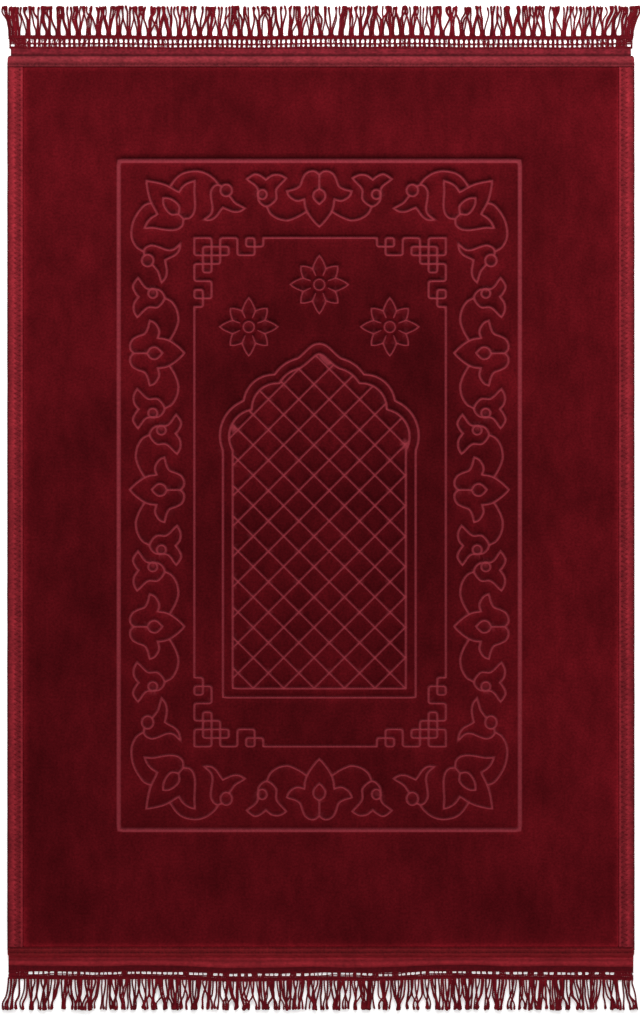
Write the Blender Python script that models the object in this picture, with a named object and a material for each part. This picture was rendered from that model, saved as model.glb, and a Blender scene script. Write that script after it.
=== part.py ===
"""Prayer rug: a padded velvet panel with a pressed design of an arch, flowers and a scroll border,
bound on its four edges, with a fringe trim at each end.

Metres, +Z up, +Y towards the point of the arch. The origin is on the floor under the rug's middle.
Sizes below are in millimetres, and become metres where a mesh is made.
"""

import math
import random
from collections import namedtuple

import bmesh
import bpy
import numpy as np
from mathutils import Vector
from mathutils.geometry import (delaunay_2d_cdt, interpolate_bezier, intersect_line_line_2d,
                                intersect_line_sphere_2d)

MM = 0.001

# ---- Driving dimensions: the body -------------------------------------------------------------
HALF_WIDTH = 400.0          # middle to the outside of a side binding
THICKNESS = 6.0             # velvet, thin padding and backing together
TAPE = 1.0                  # binding tape
GAP = 0.3                   # between neighbouring pieces
PRESSED = TAPE + GAP        # how far a panel face is pressed in under a binding
STEP_RUN = 0.6              # width of the slope where a face is pressed in
SIDE_FLAP = 19.5            # width of a side binding on the face
SIDE_ROUND = 1.6            # rounding of its outer edge
HEM_CROWN = 0.6             # how far the rounded end binding stands above the velvet
HEM_RISE_RUN = 3.0          # from its inner edge to its full height
HEM_ROUND = ((3.6, 0.0), (1.5, 0.9), (0.3, 2.4), (0.0, 3.6))    # its outer edge: in, and down from the crown
HEM_UNDERCUT = 0.4
LIP = 6.0                   # the part of an end binding that covers the fringe trim
POCKET_WALL = 2.0           # between the panel's end and that lip
CORNER_ROUND = 3.0          # rounding of an end binding's outer corners
CORNER_STATIONS = (0.0, 0.4, 1.0)
CORNER_SINK = 0.3           # how far the crown sinks for each millimetre of that rounding

# ---- Driving dimensions: the two ends, measured out from the rug's middle --------------------------
End = namedtuple("End", "name side velvet_edge hem_edge tape_edge hole_in hole_out cord_edge holes waves")
ENDS = (
    End("top", 1, 563.0, 577.5, 587.0, 592.8, 598.9, 603.4, 120, ((0.5, 410.0, 0.4), (0.3, 130.0, 2.0))),
    End("bottom", -1, 561.0, 572.5, 584.0, 591.0, 596.5, 602.0, 0, ((1.3, 520.0, 2.2), (0.8, 190.0, 5.3))),
)
FRINGE_TIPS = 641.5         # middle to the longest yarns
TRIM_HALF_WIDTH = 396.0
CORD_HALF_WIDTH = 399.0
TRIM_THICKNESS = 1.2
CORD_THICKNESS = 2.0
HOLE_PITCH = 6.3
HOLE_WIDTH = 4.9
EYELET = (391.2, 394.6, 588.6, 594.6)   # the larger gap at each end of the top trim: x, x, y, y

# ---- Driving dimensions: the fringe ---------------------------------------------------------------
BUNDLES = 59
BUNDLE_PITCH = 12.9
LOCK_SPREAD = 3.9           # between the two locks of a bundle, at their roots
CORNER_LOCKS = 4
CORNER_PITCH = 4.1
CORNER_FLARE = 6.4          # how far the outermost tips lean out
LEAN_POWER = 9              # how suddenly the locks start to lean near the corners
LOCK_WIDTHS = (3.0, 2.2, 2.7)     # at the root, half way and at the tip
LOCK_HEIGHT = 1.7
LOCK_CLEARANCE = 0.7
LOCK_FAN = (1.3, 2.2)       # how far each lock of a bundle spreads, half way and at the tip
LOCK_STRAY = (0.9, 1.6)     # how far either way it may wander there
LOCK_SHORTFALL = 4.0        # how much shorter than the longest one a lock may be

# ---- Driving dimensions: the pressed design ---------------------------------------------------------
PRESS_DEPTH = 1.4
FRAME_LINE = 4.4            # width of the outer rectangle's line
FINE_LINE = 2.6             # width of every other line
LATTICE_LINE = 2.3
CURVE_TOLERANCE = 1.2       # how far a straight piece may leave the true curve
MITRE_LIMIT = 0.12          # keeps the rim of a sharp turn from running far out
RIM_SHARE = 0.93            # a rim nearer to a line than this share of its half width is inside it
STRAIGHT = 0.99995          # cosine past which a turn counts as none
SNAP = 0.05                 # points closer than this are one

DESIGN_CENTRE = (-2.0, 16.0)
OUTER_FRAME = (256.0, 427.0)            # half width and half length
INNER_FRAME = (160.5, 324.5)
INNER_SHIFT = (1.0, 4.5)
FRET_UNIT = 11.0
FRET_REACH = 8                          # units from a corner to where the plain line starts

Arch = namedtuple("Arch", "apex crown ogee_end ogee_rise cusp_one rise_one cusp_two rise_two spring sill")
OUTER_ARCH = Arch((0, 194), ((-12, 194), (-18, 181)), (-28, 175), 3.5, (-57, 154.5), 10,
                  (-96.5, 121), 14.5, (-123, 58), -257.5)
INNER_ARCH = Arch((0, 181), ((-6, 181), (-14, 168.5)), (-25.5, 162.5), 3.5, (-51, 143.5), 11,
                  (-86, 110), 15, (-110.5, 58), -246)
LATTICE_DIAGONAL = 38.8
LATTICE_CROSSING = (-6.7, 65.0)

FLOWERS = ((0, 269.5), (-90, 215.5), (90, 215.5))
PETALS = 8
FLOWER_TIPS = (37.5, 33.5)              # radius of the petals on the axes and between them
FLOWER_VALLEY = 22.0
FLOWER_SPOKE = 12.5
FLOWER_RING = 7.0
PETAL_BULGE = 1.0

END_STRETCH = ((1, 1.02), (-1, 1.11))   # each end border, and how far it is stretched along the rug
BLOOM_INSET = (82.5, 72.0)              # a corner bloom's heart, in from the outer frame's lines
BLOOM_BUD = (                           # stretches of its outline, its eye and the eye's radius
    (((37.6, 26.1), (39.4, 17.5), (37.6, 9.8), (33.4, 3.5), (29.1, -1.5)),
     ((29.1, -1.5), (34.0, -7.2), (38.6, -13.2), (40.6, -20.5), (38.7, -29.6)),
     ((38.7, -29.6), (34.2, -19.0), (27.0, -14.4), (15.0, -13.3), (5.5, -11.0), (0.0, -3.0), (5.0, 5.0),
      (21.2, 11.7), (28.5, 15.8), (37.6, 26.1))),
    (9.6, 7.9), 7.4,
)
BLOOM_STEMS = (                         # side of the bloom, route of the stem, angle of its bud
    (1, ((40.4, 16.8), (42.2, 28.5), (41.0, 38.0), (36.8, 46.0), (29.5, 54.5), (19.5, 60.4), (8.0, 62.8),
         (-1.3, 62.0)), 31.0),
    (-1, ((43.0, 15.0), (47.2, 25.0), (43.5, 45.8), (32.0, 61.8), (18.3, 67.4), (7.0, 65.0)), 20.0),
)
PALMETTE_BUD = (
    (((33.8, 23.6), (40.2, 12.6), (36.6, 3.0), (32.5, -1.3)),
     ((32.5, -1.3), (38.3, -8.2), (39.4, -18.0), (35.0, -27.7)),
     ((35.0, -27.7), (21.5, -14.9), (8.5, -14.3), (0.0, -2.5), (7.0, 7.8), (23.5, 10.0), (33.8, 23.6))),
    (15.0, 3.3), 5.8,
)
PALMETTE_SIDE_ROWS = (                  # height, direction (1 is tip in), eye to the outer frame's line
    (182.0, 1, 46.0), (7.5, -1, 52.0), (-167.0, 1, 46.0),
)
PALMETTE_END_INSET = 44.0
PALMETTE_REACH = 73.0                   # eye to the root of a bud beside it
PALMETTE_END_REACH = 69.5

Line = namedtuple("Line", "points closed width")


# ---- Curves -------------------------------------------------------------------------------------
def through(points, steps=12):
    """A smooth curve through the points, straight on at its two ends."""
    ends = [2 * Vector(points[0]) - Vector(points[1]), 2 * Vector(points[-1]) - Vector(points[-2])]
    knots = [ends[0], *map(Vector, points), ends[1]]
    curve = [knots[1]]
    for before, start, stop, after in zip(knots, knots[1:], knots[2:], knots[3:]):
        handles = start + (stop - before) / 6, stop - (after - start) / 6
        curve += interpolate_bezier(start, *handles, stop, steps + 1)[1:]
    return thinned([(p.x, p.y) for p in curve])


def runs(*parts):
    """Several smooth runs, each starting at the sharp point where the one before it ends."""
    outline = []
    for part in parts:
        curve = through(part)
        outline += curve[1:] if outline else curve
    return outline


def arc(start, stop, rise, steps=24):
    """A round arc between two points, standing out to the left of the way it runs by rise."""
    a, b = Vector(start), Vector(stop)
    half = (b - a).length / 2
    left = Vector((a.y - b.y, b.x - a.x)).normalized()
    radius = (half * half + rise * rise) / (2 * rise)
    centre = (a + b) / 2 + left * (rise - radius)
    sweep = 2 * math.asin(min(1.0, half / abs(radius)))
    first = math.atan2(a.y - centre.y, a.x - centre.x)
    turn = -1 if rise > 0 else 1
    angles = [first + turn * sweep * i / steps for i in range(steps + 1)]
    return thinned([(centre.x + abs(radius) * math.cos(t), centre.y + abs(radius) * math.sin(t))
                    for t in angles])


def polar(radius, angle):
    return radius * math.cos(angle), radius * math.sin(angle)


def ring(centre, radius, sides=6):
    spots = [polar(radius, 2 * math.pi * i / sides) for i in range(sides)]
    return [(centre[0] + x, centre[1] + y) for x, y in spots]


def thinned(points):
    """The fewest of these points that stay within the curve tolerance."""
    if len(points) < 3:
        return points
    start, stop = Vector(points[0]), Vector(points[-1])
    along = stop - start
    if along.length < CURVE_TOLERANCE:
        off = [(Vector(p) - start).length for p in points]
    else:
        off = [abs(along.cross(Vector(p) - start)) / along.length for p in points]
    worst = max(range(len(points)), key=off.__getitem__)
    if off[worst] <= CURVE_TOLERANCE:
        return [points[0], points[-1]]
    return thinned(points[:worst + 1])[:-1] + thinned(points[worst:])


def mirrored(points):
    """An outline that starts and ends on its axis of symmetry, with its mirror image."""
    return points + [(a, -b) for a, b in reversed(points[1:-1])]


def placed(points, origin, along, across):
    """Points given along two directions from an origin."""
    return [(origin[0] + a * along[0] + b * across[0], origin[1] + a * along[1] + b * across[1])
            for a, b in points]


def outside(points, centre, radius):
    """A closed outline, left open where it would run inside a circle."""
    hits = []
    for i, (a, b) in enumerate(zip(points, points[1:] + points[:1])):
        found = intersect_line_sphere_2d(Vector(a), Vector(b), Vector(centre), radius)
        hits += [(i, tuple(hit)) for hit in found if hit]
    if len(hits) != 2:
        return points, True
    (last, entry), (first, way_out) = hits
    return [way_out, *points[first + 1:], *points[:last + 1], entry], False


# ---- Motifs: each returns (points, closed) pairs in its own axes --------------------------------------
def bud(stretches, eye, eye_radius):
    """A tulip bud. It opens along +a from its round root at the origin, with an eye at its +b side."""
    outline = runs(*stretches)
    return [outside(outline[:-1], eye, eye_radius), (ring(eye, eye_radius), True)]


def palmette(reach):
    """A palmette with its eye at the origin and its tip along +a, and on each side a stem and a bud."""
    half = runs(
        [(-26.8, 0.0), (-30.8, 4.6), (-31.4, 11.0), (-28.0, 17.6), (-21.0, 21.6), (-13.0, 24.6),
         (-8.8, 31.5), (-6.5, 41.9)],
        [(-6.5, 41.9), (-0.2, 38.6), (4.6, 31.8), (5.6, 25.5), (3.2, 19.0)],
        [(3.2, 19.0), (12.2, 18.2), (20.5, 14.9), (30.0, 8.0), (38.3, 0.0)],
    )
    eye = mirrored(runs([(-9.6, 0.0), (-5.5, 6.2), (2.0, 7.4), (10.2, 0.0)]))
    motif = [(mirrored(half), True), (eye, True), ([(-26.8, 0.0), (-9.6, 0.0)], False)]
    root = (12.5, reach)
    stem = through([(18.8, 15.8), (24.6, 25.5), (28.8, 35.3), (30.2, 0.6 * reach), (28.0, 0.76 * reach),
                    (21.5, 0.9 * reach), (12.5, reach - 2.5)])
    for side in (1, -1):
        motif.append(([(a, side * b) for a, b in stem], False))
        for points, closed in bud(*PALMETTE_BUD):
            motif.append(([(root[0] - a, side * (root[1] + b)) for a, b in points], closed))
    return motif


def bloom():
    """A corner bloom with its heart at the origin and its middle petal along +a. A stem with a bud runs
    along the end border on its +b side, and a wider one along the side border."""
    outline = runs(
        [(0.0, 0.0), (-4.8, 6.0), (-4.8, 13.0), (-0.5, 20.5), (7.0, 27.8), (15.2, 35.0), (23.2, 44.2)],
        [(23.2, 44.2), (27.4, 35.6), (28.8, 27.0), (27.0, 19.3)],
        [(27.0, 19.3), (39.5, 16.0), (47.5, 12.9), (54.0, 9.2), (60.0, 5.2), (67.2, 0.0)],
        [(67.2, 0.0), (60.0, -5.2), (54.0, -9.2), (47.5, -12.9), (39.5, -16.0), (27.0, -19.3)],
        [(27.0, -19.3), (29.4, -27.2), (29.4, -35.5), (26.8, -43.8)],
        [(26.8, -43.8), (19.4, -35.4), (8.5, -27.6), (0.6, -21.0), (-4.4, -13.6), (-4.8, -6.0), (0.0, 0.0)],
    )
    heart = mirrored(runs([(36.8, 0.0), (30.5, 5.2), (22.5, 7.6), (14.5, 7.0), (8.6, 0.0)]))
    motif = [(outline[:-1], True), (heart, True), ([(8.6, 0.0), (0.0, 0.0)], False)]
    for side, stem, bud_angle in BLOOM_STEMS:
        motif.append(([(a, side * b) for a, b in through(stem)], False))
        opening, outward = polar(-1, math.radians(bud_angle)), polar(1, math.radians(bud_angle + 90))
        for points, closed in bud(*BLOOM_BUD):
            turned = placed(points, stem[-1], opening, outward)
            motif.append(([(a, side * b) for a, b in turned], closed))
    return motif


def flower():
    """Petals with pointed tips, those on the axes longer, round a small ring."""
    step = 2 * math.pi / PETALS
    outline, spokes = [], []
    for k in range(PETALS):
        start, stop = polar(FLOWER_VALLEY, step * (k - 0.5)), polar(FLOWER_VALLEY, step * (k + 0.5))
        tip = polar(FLOWER_TIPS[k % 2], step * k)
        outline += arc(start, tip, -PETAL_BULGE)[:-1] + arc(tip, stop, -PETAL_BULGE)[:-1]
        spokes.append(([polar(FLOWER_SPOKE, step * (k + 0.5)), stop], False))
    return [(outline, True), (ring((0, 0), FLOWER_RING), True), *spokes]


def fret():
    """The key pattern of a corner, in fret units: +a along the upper line, +b down the side line."""
    steps = [([(1, 1), (4, 1), (4, 2), (1, 2)], True), ([(1, 2), (1, 3), (3, 3), (3, 1)], False),
             ([(1, 3), (1, 4), (2, 4), (2, 1)], False)]
    arm = [([(1, 2), (0, 2), (0, 0)], False),
           ([(1, 3), (0, 3), (0, 5), (2, 5), (2, 7), (0, 7), (0, 6), (1, 6), (1, 8), (0, 8)], False)]
    turned = [([(b, a) for a, b in points], closed) for points, closed in arm]
    return steps + arm + turned


def arch_outline(arch):
    """Half of the arch as a row of curves, then its mirror image and the sill."""
    crown = interpolate_bezier(*[Vector(p) for p in (arch.apex, *arch.crown, arch.ogee_end)], 16)
    half = thinned([(p.x, p.y) for p in crown])
    half += arc(arch.ogee_end, arch.cusp_one, -arch.ogee_rise)[1:]
    half += arc(arch.cusp_one, arch.cusp_two, -arch.rise_one)[1:]
    half += arc(arch.cusp_two, arch.spring, -arch.rise_two)[1:]
    half.append((arch.spring[0], arch.sill))
    return half + [(-x, y) for x, y in reversed(half[1:])]


def clipped(start, stop, outline):
    """The parts of a straight line that are inside a closed outline."""
    a, b = Vector(start), Vector(stop)
    hits = []
    for c, d in zip(outline, outline[1:] + outline[:1]):
        hit = intersect_line_line_2d(a, b, Vector(c), Vector(d))
        if hit:
            hits.append((hit - a).length)
    hits.sort()
    along = (b - a).normalized()
    return [[tuple(a + along * near), tuple(a + along * far)]
            for near, far in zip(hits[::2], hits[1::2]) if far - near > FINE_LINE]


def lattice(outline):
    """Straight lines both ways at 45 degrees, a diagonal apart, inside the inner arch."""
    reach = INNER_ARCH.apex[1] - INNER_ARCH.sill
    count = math.ceil(reach / LATTICE_DIAGONAL)
    parts = []
    for k in range(-count, count + 1):
        x, y = LATTICE_CROSSING[0] + k * LATTICE_DIAGONAL, LATTICE_CROSSING[1]
        for slope in (1, -1):
            parts += clipped((x - reach, y - slope * reach), (x + reach, y + slope * reach), outline)
    return parts


# ---- The whole design, in the rug's own axes -----------------------------------------------------------
def corners():
    return [(sx, sy) for sx in (-1, 1) for sy in (-1, 1)]


def inner_frame():
    """The inner rectangle: a key pattern in each corner and plain lines between them."""
    w, h = INNER_FRAME
    x, y = INNER_SHIFT
    parts = []
    for sx, sy in corners():
        for points, closed in fret():
            along, across = (-sx * FRET_UNIT, 0), (0, -sy * FRET_UNIT)
            parts.append((placed(points, (x + sx * w, y + sy * h), along, across), closed))
    plain_w, plain_h = w - FRET_REACH * FRET_UNIT, h - FRET_REACH * FRET_UNIT
    for s in (-1, 1):
        parts.append(([(x + s * w, y - plain_h), (x + s * w, y + plain_h)], False))
        parts.append(([(x - plain_w, y + s * h), (x + plain_w, y + s * h)], False))
    return parts


def end_border(s, stretch):
    """The palmette and the two corner blooms of one end, stretched away from the outer frame's line."""
    w, h = OUTER_FRAME
    r = math.sqrt(0.5)
    parts = [(placed(points, (0, s * (h - PALMETTE_END_INSET)), (0, -s), (1, 0)), closed)
             for points, closed in palmette(PALMETTE_END_REACH)]
    for side in (-1, 1):
        heart = (side * (w - BLOOM_INSET[0]), s * (h - BLOOM_INSET[1]))
        parts += [(placed(points, heart, (side * r, s * r), (-side * r, s * r)), closed)
                  for points, closed in bloom()]
    return [([(x, s * h + (y - s * h) * stretch) for x, y in points], closed) for points, closed in parts]


def side_border(s):
    parts = []
    for y, way, inset in PALMETTE_SIDE_ROWS:
        parts += [(placed(points, (s * (OUTER_FRAME[0] - inset), y), (-s * way, 0), (0, 1)), closed)
                  for points, closed in palmette(PALMETTE_REACH)]
    return parts


def design():
    lines = []

    def add(parts, width=FINE_LINE):
        for points, closed in parts:
            shifted = [(x + DESIGN_CENTRE[0], y + DESIGN_CENTRE[1]) for x, y in points]
            lines.append(Line(shifted, closed, width))

    w, h = OUTER_FRAME
    add([([(-w, -h), (w, -h), (w, h), (-w, h)], True)], FRAME_LINE)
    add(inner_frame())
    inner_arch = arch_outline(INNER_ARCH)
    add([(arch_outline(OUTER_ARCH), True), (inner_arch, True)])
    add([(part, False) for part in lattice(inner_arch)], LATTICE_LINE)
    for centre in FLOWERS:
        add([(placed(points, centre, (1, 0), (0, 1)), closed) for points, closed in flower()])
    for s, stretch in END_STRETCH:
        add(end_border(s, stretch))
        add(side_border(s))
    return lines


# ---- Pressing the design into a face --------------------------------------------------------------------
def rims(line):
    """The two outlines beside a line, or the one round it where it has ends."""
    points = [Vector(p) for p in line.points]
    half, count = line.width / 2, len(line.points)
    sides = ([], [])
    for i, point in enumerate(points):
        before = points[i - 1] if line.closed or i else None
        after = points[(i + 1) % count] if line.closed or i < count - 1 else None
        way_in = (point - before).normalized() if before else (after - point).normalized()
        way_out = (after - point).normalized() if after else way_in
        left_in, left_out = Vector((-way_in.y, way_in.x)), Vector((-way_out.y, way_out.x))
        mitre = (left_in + left_out) / max(MITRE_LIMIT, 1 + left_in.dot(left_out))
        tail = (way_out * -half if before is None else way_in * half if after is None else Vector((0, 0)))
        sides[0].append(point + tail + mitre * half)
        sides[1].append(point + tail - mitre * half)
    if line.closed:
        return list(sides)
    return [sides[0] + sides[1][::-1]]


def nearest_share(points, lines):
    """How far from the nearest line each point is, as a share of that line's half width."""
    starts, stops, halves = [], [], []
    for line in lines:
        ends = line.points[1:] + line.points[:1] if line.closed else line.points[1:]
        for a, b in zip(line.points, ends):
            starts.append(a)
            stops.append(b)
            halves.append(line.width / 2)
    starts, stops, halves = np.array(starts), np.array(stops), np.array(halves)
    ways = stops - starts
    lengths = (ways ** 2).sum(axis=1)
    shares = []
    for point in np.array(points):
        t = np.clip(((point - starts) * ways).sum(axis=1) / lengths, 0, 1)
        away = np.linalg.norm(point - starts - ways * t[:, None], axis=1)
        shares.append((away / halves).min())
    return np.array(shares)


def relief_edges(lines):
    """The lines and their rims as edges that meet only at their ends. A rim stops where it would run
    inside another line's groove."""
    verts, edges, is_rim = [], [], []

    def chain(points, closed, rim):
        first = len(verts)
        verts.extend(Vector(p) for p in points)
        for i in range(len(points) if closed else len(points) - 1):
            edges.append((first + i, first + (i + 1) % len(points)))
            is_rim.append(rim)

    for line in lines:
        chain(line.points, line.closed, False)
        for rim in rims(line):
            chain(rim, True, True)
    spots, pieces, _, _, sources, _ = delaunay_2d_cdt(verts, edges, [], 3, SNAP)
    middles = [((spots[a] + spots[b]) / 2)[:] for a, b in pieces]
    kept = set()
    for (a, b), source, share in zip(pieces, sources, nearest_share(middles, lines)):
        if not all(is_rim[s] for s in source) or share > RIM_SHARE:
            kept.add((min(a, b), max(a, b)))
    return merged_straights([spot[:] for spot in spots], kept)


def merged_straights(spots, edges):
    """Drops each point where exactly two edges meet in a straight line."""
    beside = {}
    for a, b in edges:
        beside.setdefault(a, set()).add(b)
        beside.setdefault(b, set()).add(a)
    for spot in list(beside):
        if len(beside[spot]) != 2:
            continue
        a, b = beside[spot]
        to_a, to_b = Vector(spots[a]) - Vector(spots[spot]), Vector(spots[b]) - Vector(spots[spot])
        if to_a.normalized().dot(to_b.normalized()) > -STRAIGHT or b in beside[a]:
            continue
        beside[a].remove(spot)
        beside[b].remove(spot)
        beside[a].add(b)
        beside[b].add(a)
        del beside[spot]
    index = {spot: i for i, spot in enumerate(beside)}
    pairs = [(index[a], index[b]) for a in beside for b in beside[a] if a < b]
    return [Vector(spots[spot]) for spot in beside], pairs


# ---- Mesh helpers ---------------------------------------------------------------------------------------
def make_object(name, verts, faces, material, parent):
    """A closed mesh from points in millimetres, with its faces turned outwards."""
    mesh = bpy.data.meshes.new(name)
    mesh.from_pydata([(x * MM, y * MM, z * MM) for x, y, z in verts], [], faces)
    shape = bmesh.new()
    shape.from_mesh(mesh)
    bmesh.ops.recalc_face_normals(shape, faces=shape.faces)
    shape.to_mesh(mesh)
    shape.free()
    mesh.materials.append(material)
    mesh.shade_smooth()
    mesh.set_sharp_from_angle(angle=math.radians(30))
    piece = bpy.data.objects.new(name, mesh)
    bpy.context.scene.collection.objects.link(piece)
    piece.parent = parent


def loft(sections):
    """A closed body through rings of equally many points, with a flat cap at each end."""
    count = len(sections[0])
    verts = [point for section in sections for point in section]
    faces = [tuple(range(count)), tuple(range(len(verts) - count, len(verts)))]
    for s in range(len(sections) - 1):
        for i in range(count):
            j = (i + 1) % count
            faces.append((s * count + i, s * count + j, (s + 1) * count + j, (s + 1) * count + i))
    return verts, faces


def cloth_material(name, colour, roughness):
    material = bpy.data.materials.new(name)
    material.use_nodes = True
    shader = material.node_tree.nodes["Principled BSDF"]
    shader.inputs["Base Color"].default_value = (*colour, 1.0)
    shader.inputs["Roughness"].default_value = roughness
    shader.inputs["Metallic"].default_value = 0.0
    return material


# ---- The velvet panel -----------------------------------------------------------------------------------
def panel_step(end):
    return end.velvet_edge - 2 * GAP


def panel_end(end):
    return end.hem_edge - LIP - POCKET_WALL - GAP


def panel_grid():
    """Where the panel's faces start and stop being pressed in, from left to right and bottom to top."""
    top, bottom = ENDS
    side = HALF_WIDTH - SIDE_FLAP - GAP
    edge = HALF_WIDTH - PRESSED
    xs = [-edge, -side, -side + STEP_RUN, side - STEP_RUN, side, edge]
    ys = [-panel_end(bottom), -panel_step(bottom), -panel_step(bottom) + STEP_RUN,
          panel_step(top) - STEP_RUN, panel_step(top), panel_end(top)]
    return xs, ys


def face_press(x, y, xs, ys):
    """How far a face is pressed in at a point: once under a side binding, once under an end binding."""
    under_side = x < xs[1] + SNAP or x > xs[-2] - SNAP
    under_end = y < ys[1] + SNAP or y > ys[-2] - SNAP
    return PRESSED * (under_side + under_end)


def rug_panel(material, parent):
    xs, ys = panel_grid()
    across, along = len(xs), len(ys)
    lines = design()
    spots, edges = relief_edges(lines)
    first = len(spots)
    spots += [Vector((x, y)) for y in ys for x in xs]
    edges += [(first + across * j + i, first + across * j + i + 1)
              for j in range(along) for i in range(across - 1)]
    edges += [(first + across * j + i, first + across * (j + 1) + i)
              for j in range(along - 1) for i in range(across)]
    flat, _, triangles, _, _, _ = delaunay_2d_cdt(spots, edges, [], 0, SNAP)

    verts = []
    for point, share in zip(flat, nearest_share([p[:] for p in flat], lines)):
        groove = PRESS_DEPTH if share < 0.5 else 0.0
        verts.append((point.x, point.y, THICKNESS - groove - face_press(point.x, point.y, xs, ys)))
    faces = [tuple(t) for t in triangles]

    under = len(verts)
    verts += [(x, y, face_press(x, y, xs, ys)) for y in ys for x in xs]
    for j in range(along - 1):
        for i in range(across - 1):
            corner = under + across * j + i
            faces.append((corner, corner + 1, corner + across + 1, corner + across))

    def top_at(x, y):
        return min(range(len(flat)), key=lambda i: abs(flat[i].x - x) + abs(flat[i].y - y))

    last_i, last_j = across - 1, along - 1
    border = ([(i, 0) for i in range(last_i)] + [(last_i, j) for j in range(last_j)]
              + [(i, last_j) for i in range(last_i, 0, -1)] + [(0, j) for j in range(last_j, 0, -1)])
    lower = [under + across * j + i for i, j in border]
    upper = [top_at(xs[i], ys[j]) for i, j in border]
    for k in range(len(border)):
        faces.append((lower[k - 1], lower[k], upper[k], upper[k - 1]))
    make_object("rug_panel", verts, faces, material, parent)


# ---- The bindings ---------------------------------------------------------------------------------------
def side_section(y, press, side):
    """A tape folded round the edge: from its inner edge on top, round the outside, to the one below."""
    low, high = press, THICKNESS - press
    inner, outer = HALF_WIDTH - SIDE_FLAP, HALF_WIDTH
    bevel = 0.3 * SIDE_ROUND
    profile = [(inner, high), (outer - SIDE_ROUND, high), (outer - bevel, high - bevel),
               (outer, high - SIDE_ROUND), (outer, low + SIDE_ROUND), (outer - bevel, low + bevel),
               (outer - SIDE_ROUND, low), (inner, low), (inner, low + TAPE), (outer - TAPE, low + TAPE),
               (outer - TAPE, high - TAPE), (inner, high - TAPE)]
    return [(side * x, y, z) for x, z in profile]


def side_binding(name, side, material, parent):
    top, bottom = ENDS
    places = [(-panel_end(bottom), PRESSED), (-bottom.velvet_edge + GAP, PRESSED),
              (-bottom.velvet_edge + GAP + STEP_RUN, 0.0), (top.velvet_edge - GAP - STEP_RUN, 0.0),
              (top.velvet_edge - GAP, PRESSED), (panel_end(top), PRESSED)]
    verts, faces = loft([side_section(y, press, side) for y, press in places])
    make_object(name, verts, faces, material, parent)


def end_section(x, end, taper):
    """A rounded fold over the panel's end, with a lip that covers the fringe trim's tape."""
    inner, outer = end.velvet_edge, end.hem_edge - taper
    lip, pocket = end.hem_edge - LIP, end.hem_edge - LIP - POCKET_WALL
    crown, under_lip = THICKNESS + HEM_CROWN - CORNER_SINK * taper, TRIM_THICKNESS + GAP
    profile = [(inner, THICKNESS - TAPE), (inner, THICKNESS), (inner + HEM_RISE_RUN, crown),
               *[(outer - back, crown - drop) for back, drop in HEM_ROUND],
               (outer - HEM_UNDERCUT, under_lip), (lip, under_lip), (lip, 0.0), (inner, 0.0),
               (inner, TAPE), (pocket, TAPE), (pocket, THICKNESS - TAPE)]
    return [(x, end.side * y, z) for y, z in profile]


def end_binding(end, material, parent):
    stations = []
    for share in CORNER_STATIONS:
        taper = CORNER_ROUND * (1 - math.sqrt(1 - (1 - share) ** 2))
        stations.append((-HALF_WIDTH + CORNER_ROUND * share, taper))
    stations += [(-x, taper) for x, taper in reversed(stations)]
    verts, faces = loft([end_section(x, end, taper) for x, taper in stations])
    make_object(f"end_binding_{end.name}", verts, faces, material, parent)


# ---- The fringe trims -----------------------------------------------------------------------------------
def hem_wave(x, end):
    """How far the loose edge of the trim wanders in or out along its length."""
    return sum(height * math.sin(2 * math.pi * x / length + phase) for height, length, phase in end.waves)


def lock_roots():
    half_row = (BUNDLES - 1) / 2 * BUNDLE_PITCH
    xs = []
    for i in range(BUNDLES):
        centre = i * BUNDLE_PITCH - half_row
        xs += [centre - LOCK_SPREAD / 2, centre + LOCK_SPREAD / 2]
    last = CORD_HALF_WIDTH - LOCK_WIDTHS[0] / 2
    for i in range(CORNER_LOCKS):
        xs += [last - i * CORNER_PITCH, -last + i * CORNER_PITCH]
    return sorted(xs)


def spaced(places, width, most):
    """The places moved just enough to stand clear of each other and reach no further than most."""
    step = width + LOCK_CLEARANCE
    for i in range(1, len(places)):
        places[i] = max(places[i], places[i - 1] + step)
    places[-1] = min(places[-1], most)
    for i in range(len(places) - 2, 0, -1):
        places[i] = min(places[i], places[i + 1] - step)
    places[0] = -most
    return places


def locks(end):
    """The root, middle and tip of each lock along the hem, and how far out its tip is."""
    chance = random.Random(f"fringe {end.name}")
    roots = lock_roots()
    middles, tips, reaches = [], [], []
    for k, x in enumerate(roots):
        lean = CORNER_FLARE * (x / CORD_HALF_WIDTH) ** LEAN_POWER
        way = 1 if k % 2 else -1
        middles.append(x + way * LOCK_FAN[0] + lean / 2 + chance.uniform(-LOCK_STRAY[0], LOCK_STRAY[0]))
        tips.append(x + way * LOCK_FAN[1] + lean + chance.uniform(-LOCK_STRAY[1], LOCK_STRAY[1]))
        short = LOCK_SHORTFALL * chance.random() ** 2
        reaches.append(FRINGE_TIPS - (short if 0 < k < len(roots) - 1 else 0.0))
    last = CORD_HALF_WIDTH - LOCK_WIDTHS[0] / 2
    middles = spaced(middles, LOCK_WIDTHS[1], last + CORNER_FLARE / 2)
    tips = spaced(tips, LOCK_WIDTHS[2], last + CORNER_FLARE)
    return list(zip(roots, middles, tips, reaches))


def inside(point, loop):
    """Whether a point is to the left of every side of a convex loop that runs anticlockwise."""
    return all((Vector(b) - Vector(a)).cross(point - Vector(a)) > 0
               for a, b in zip(loop, loop[1:] + loop[:1]))


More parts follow.
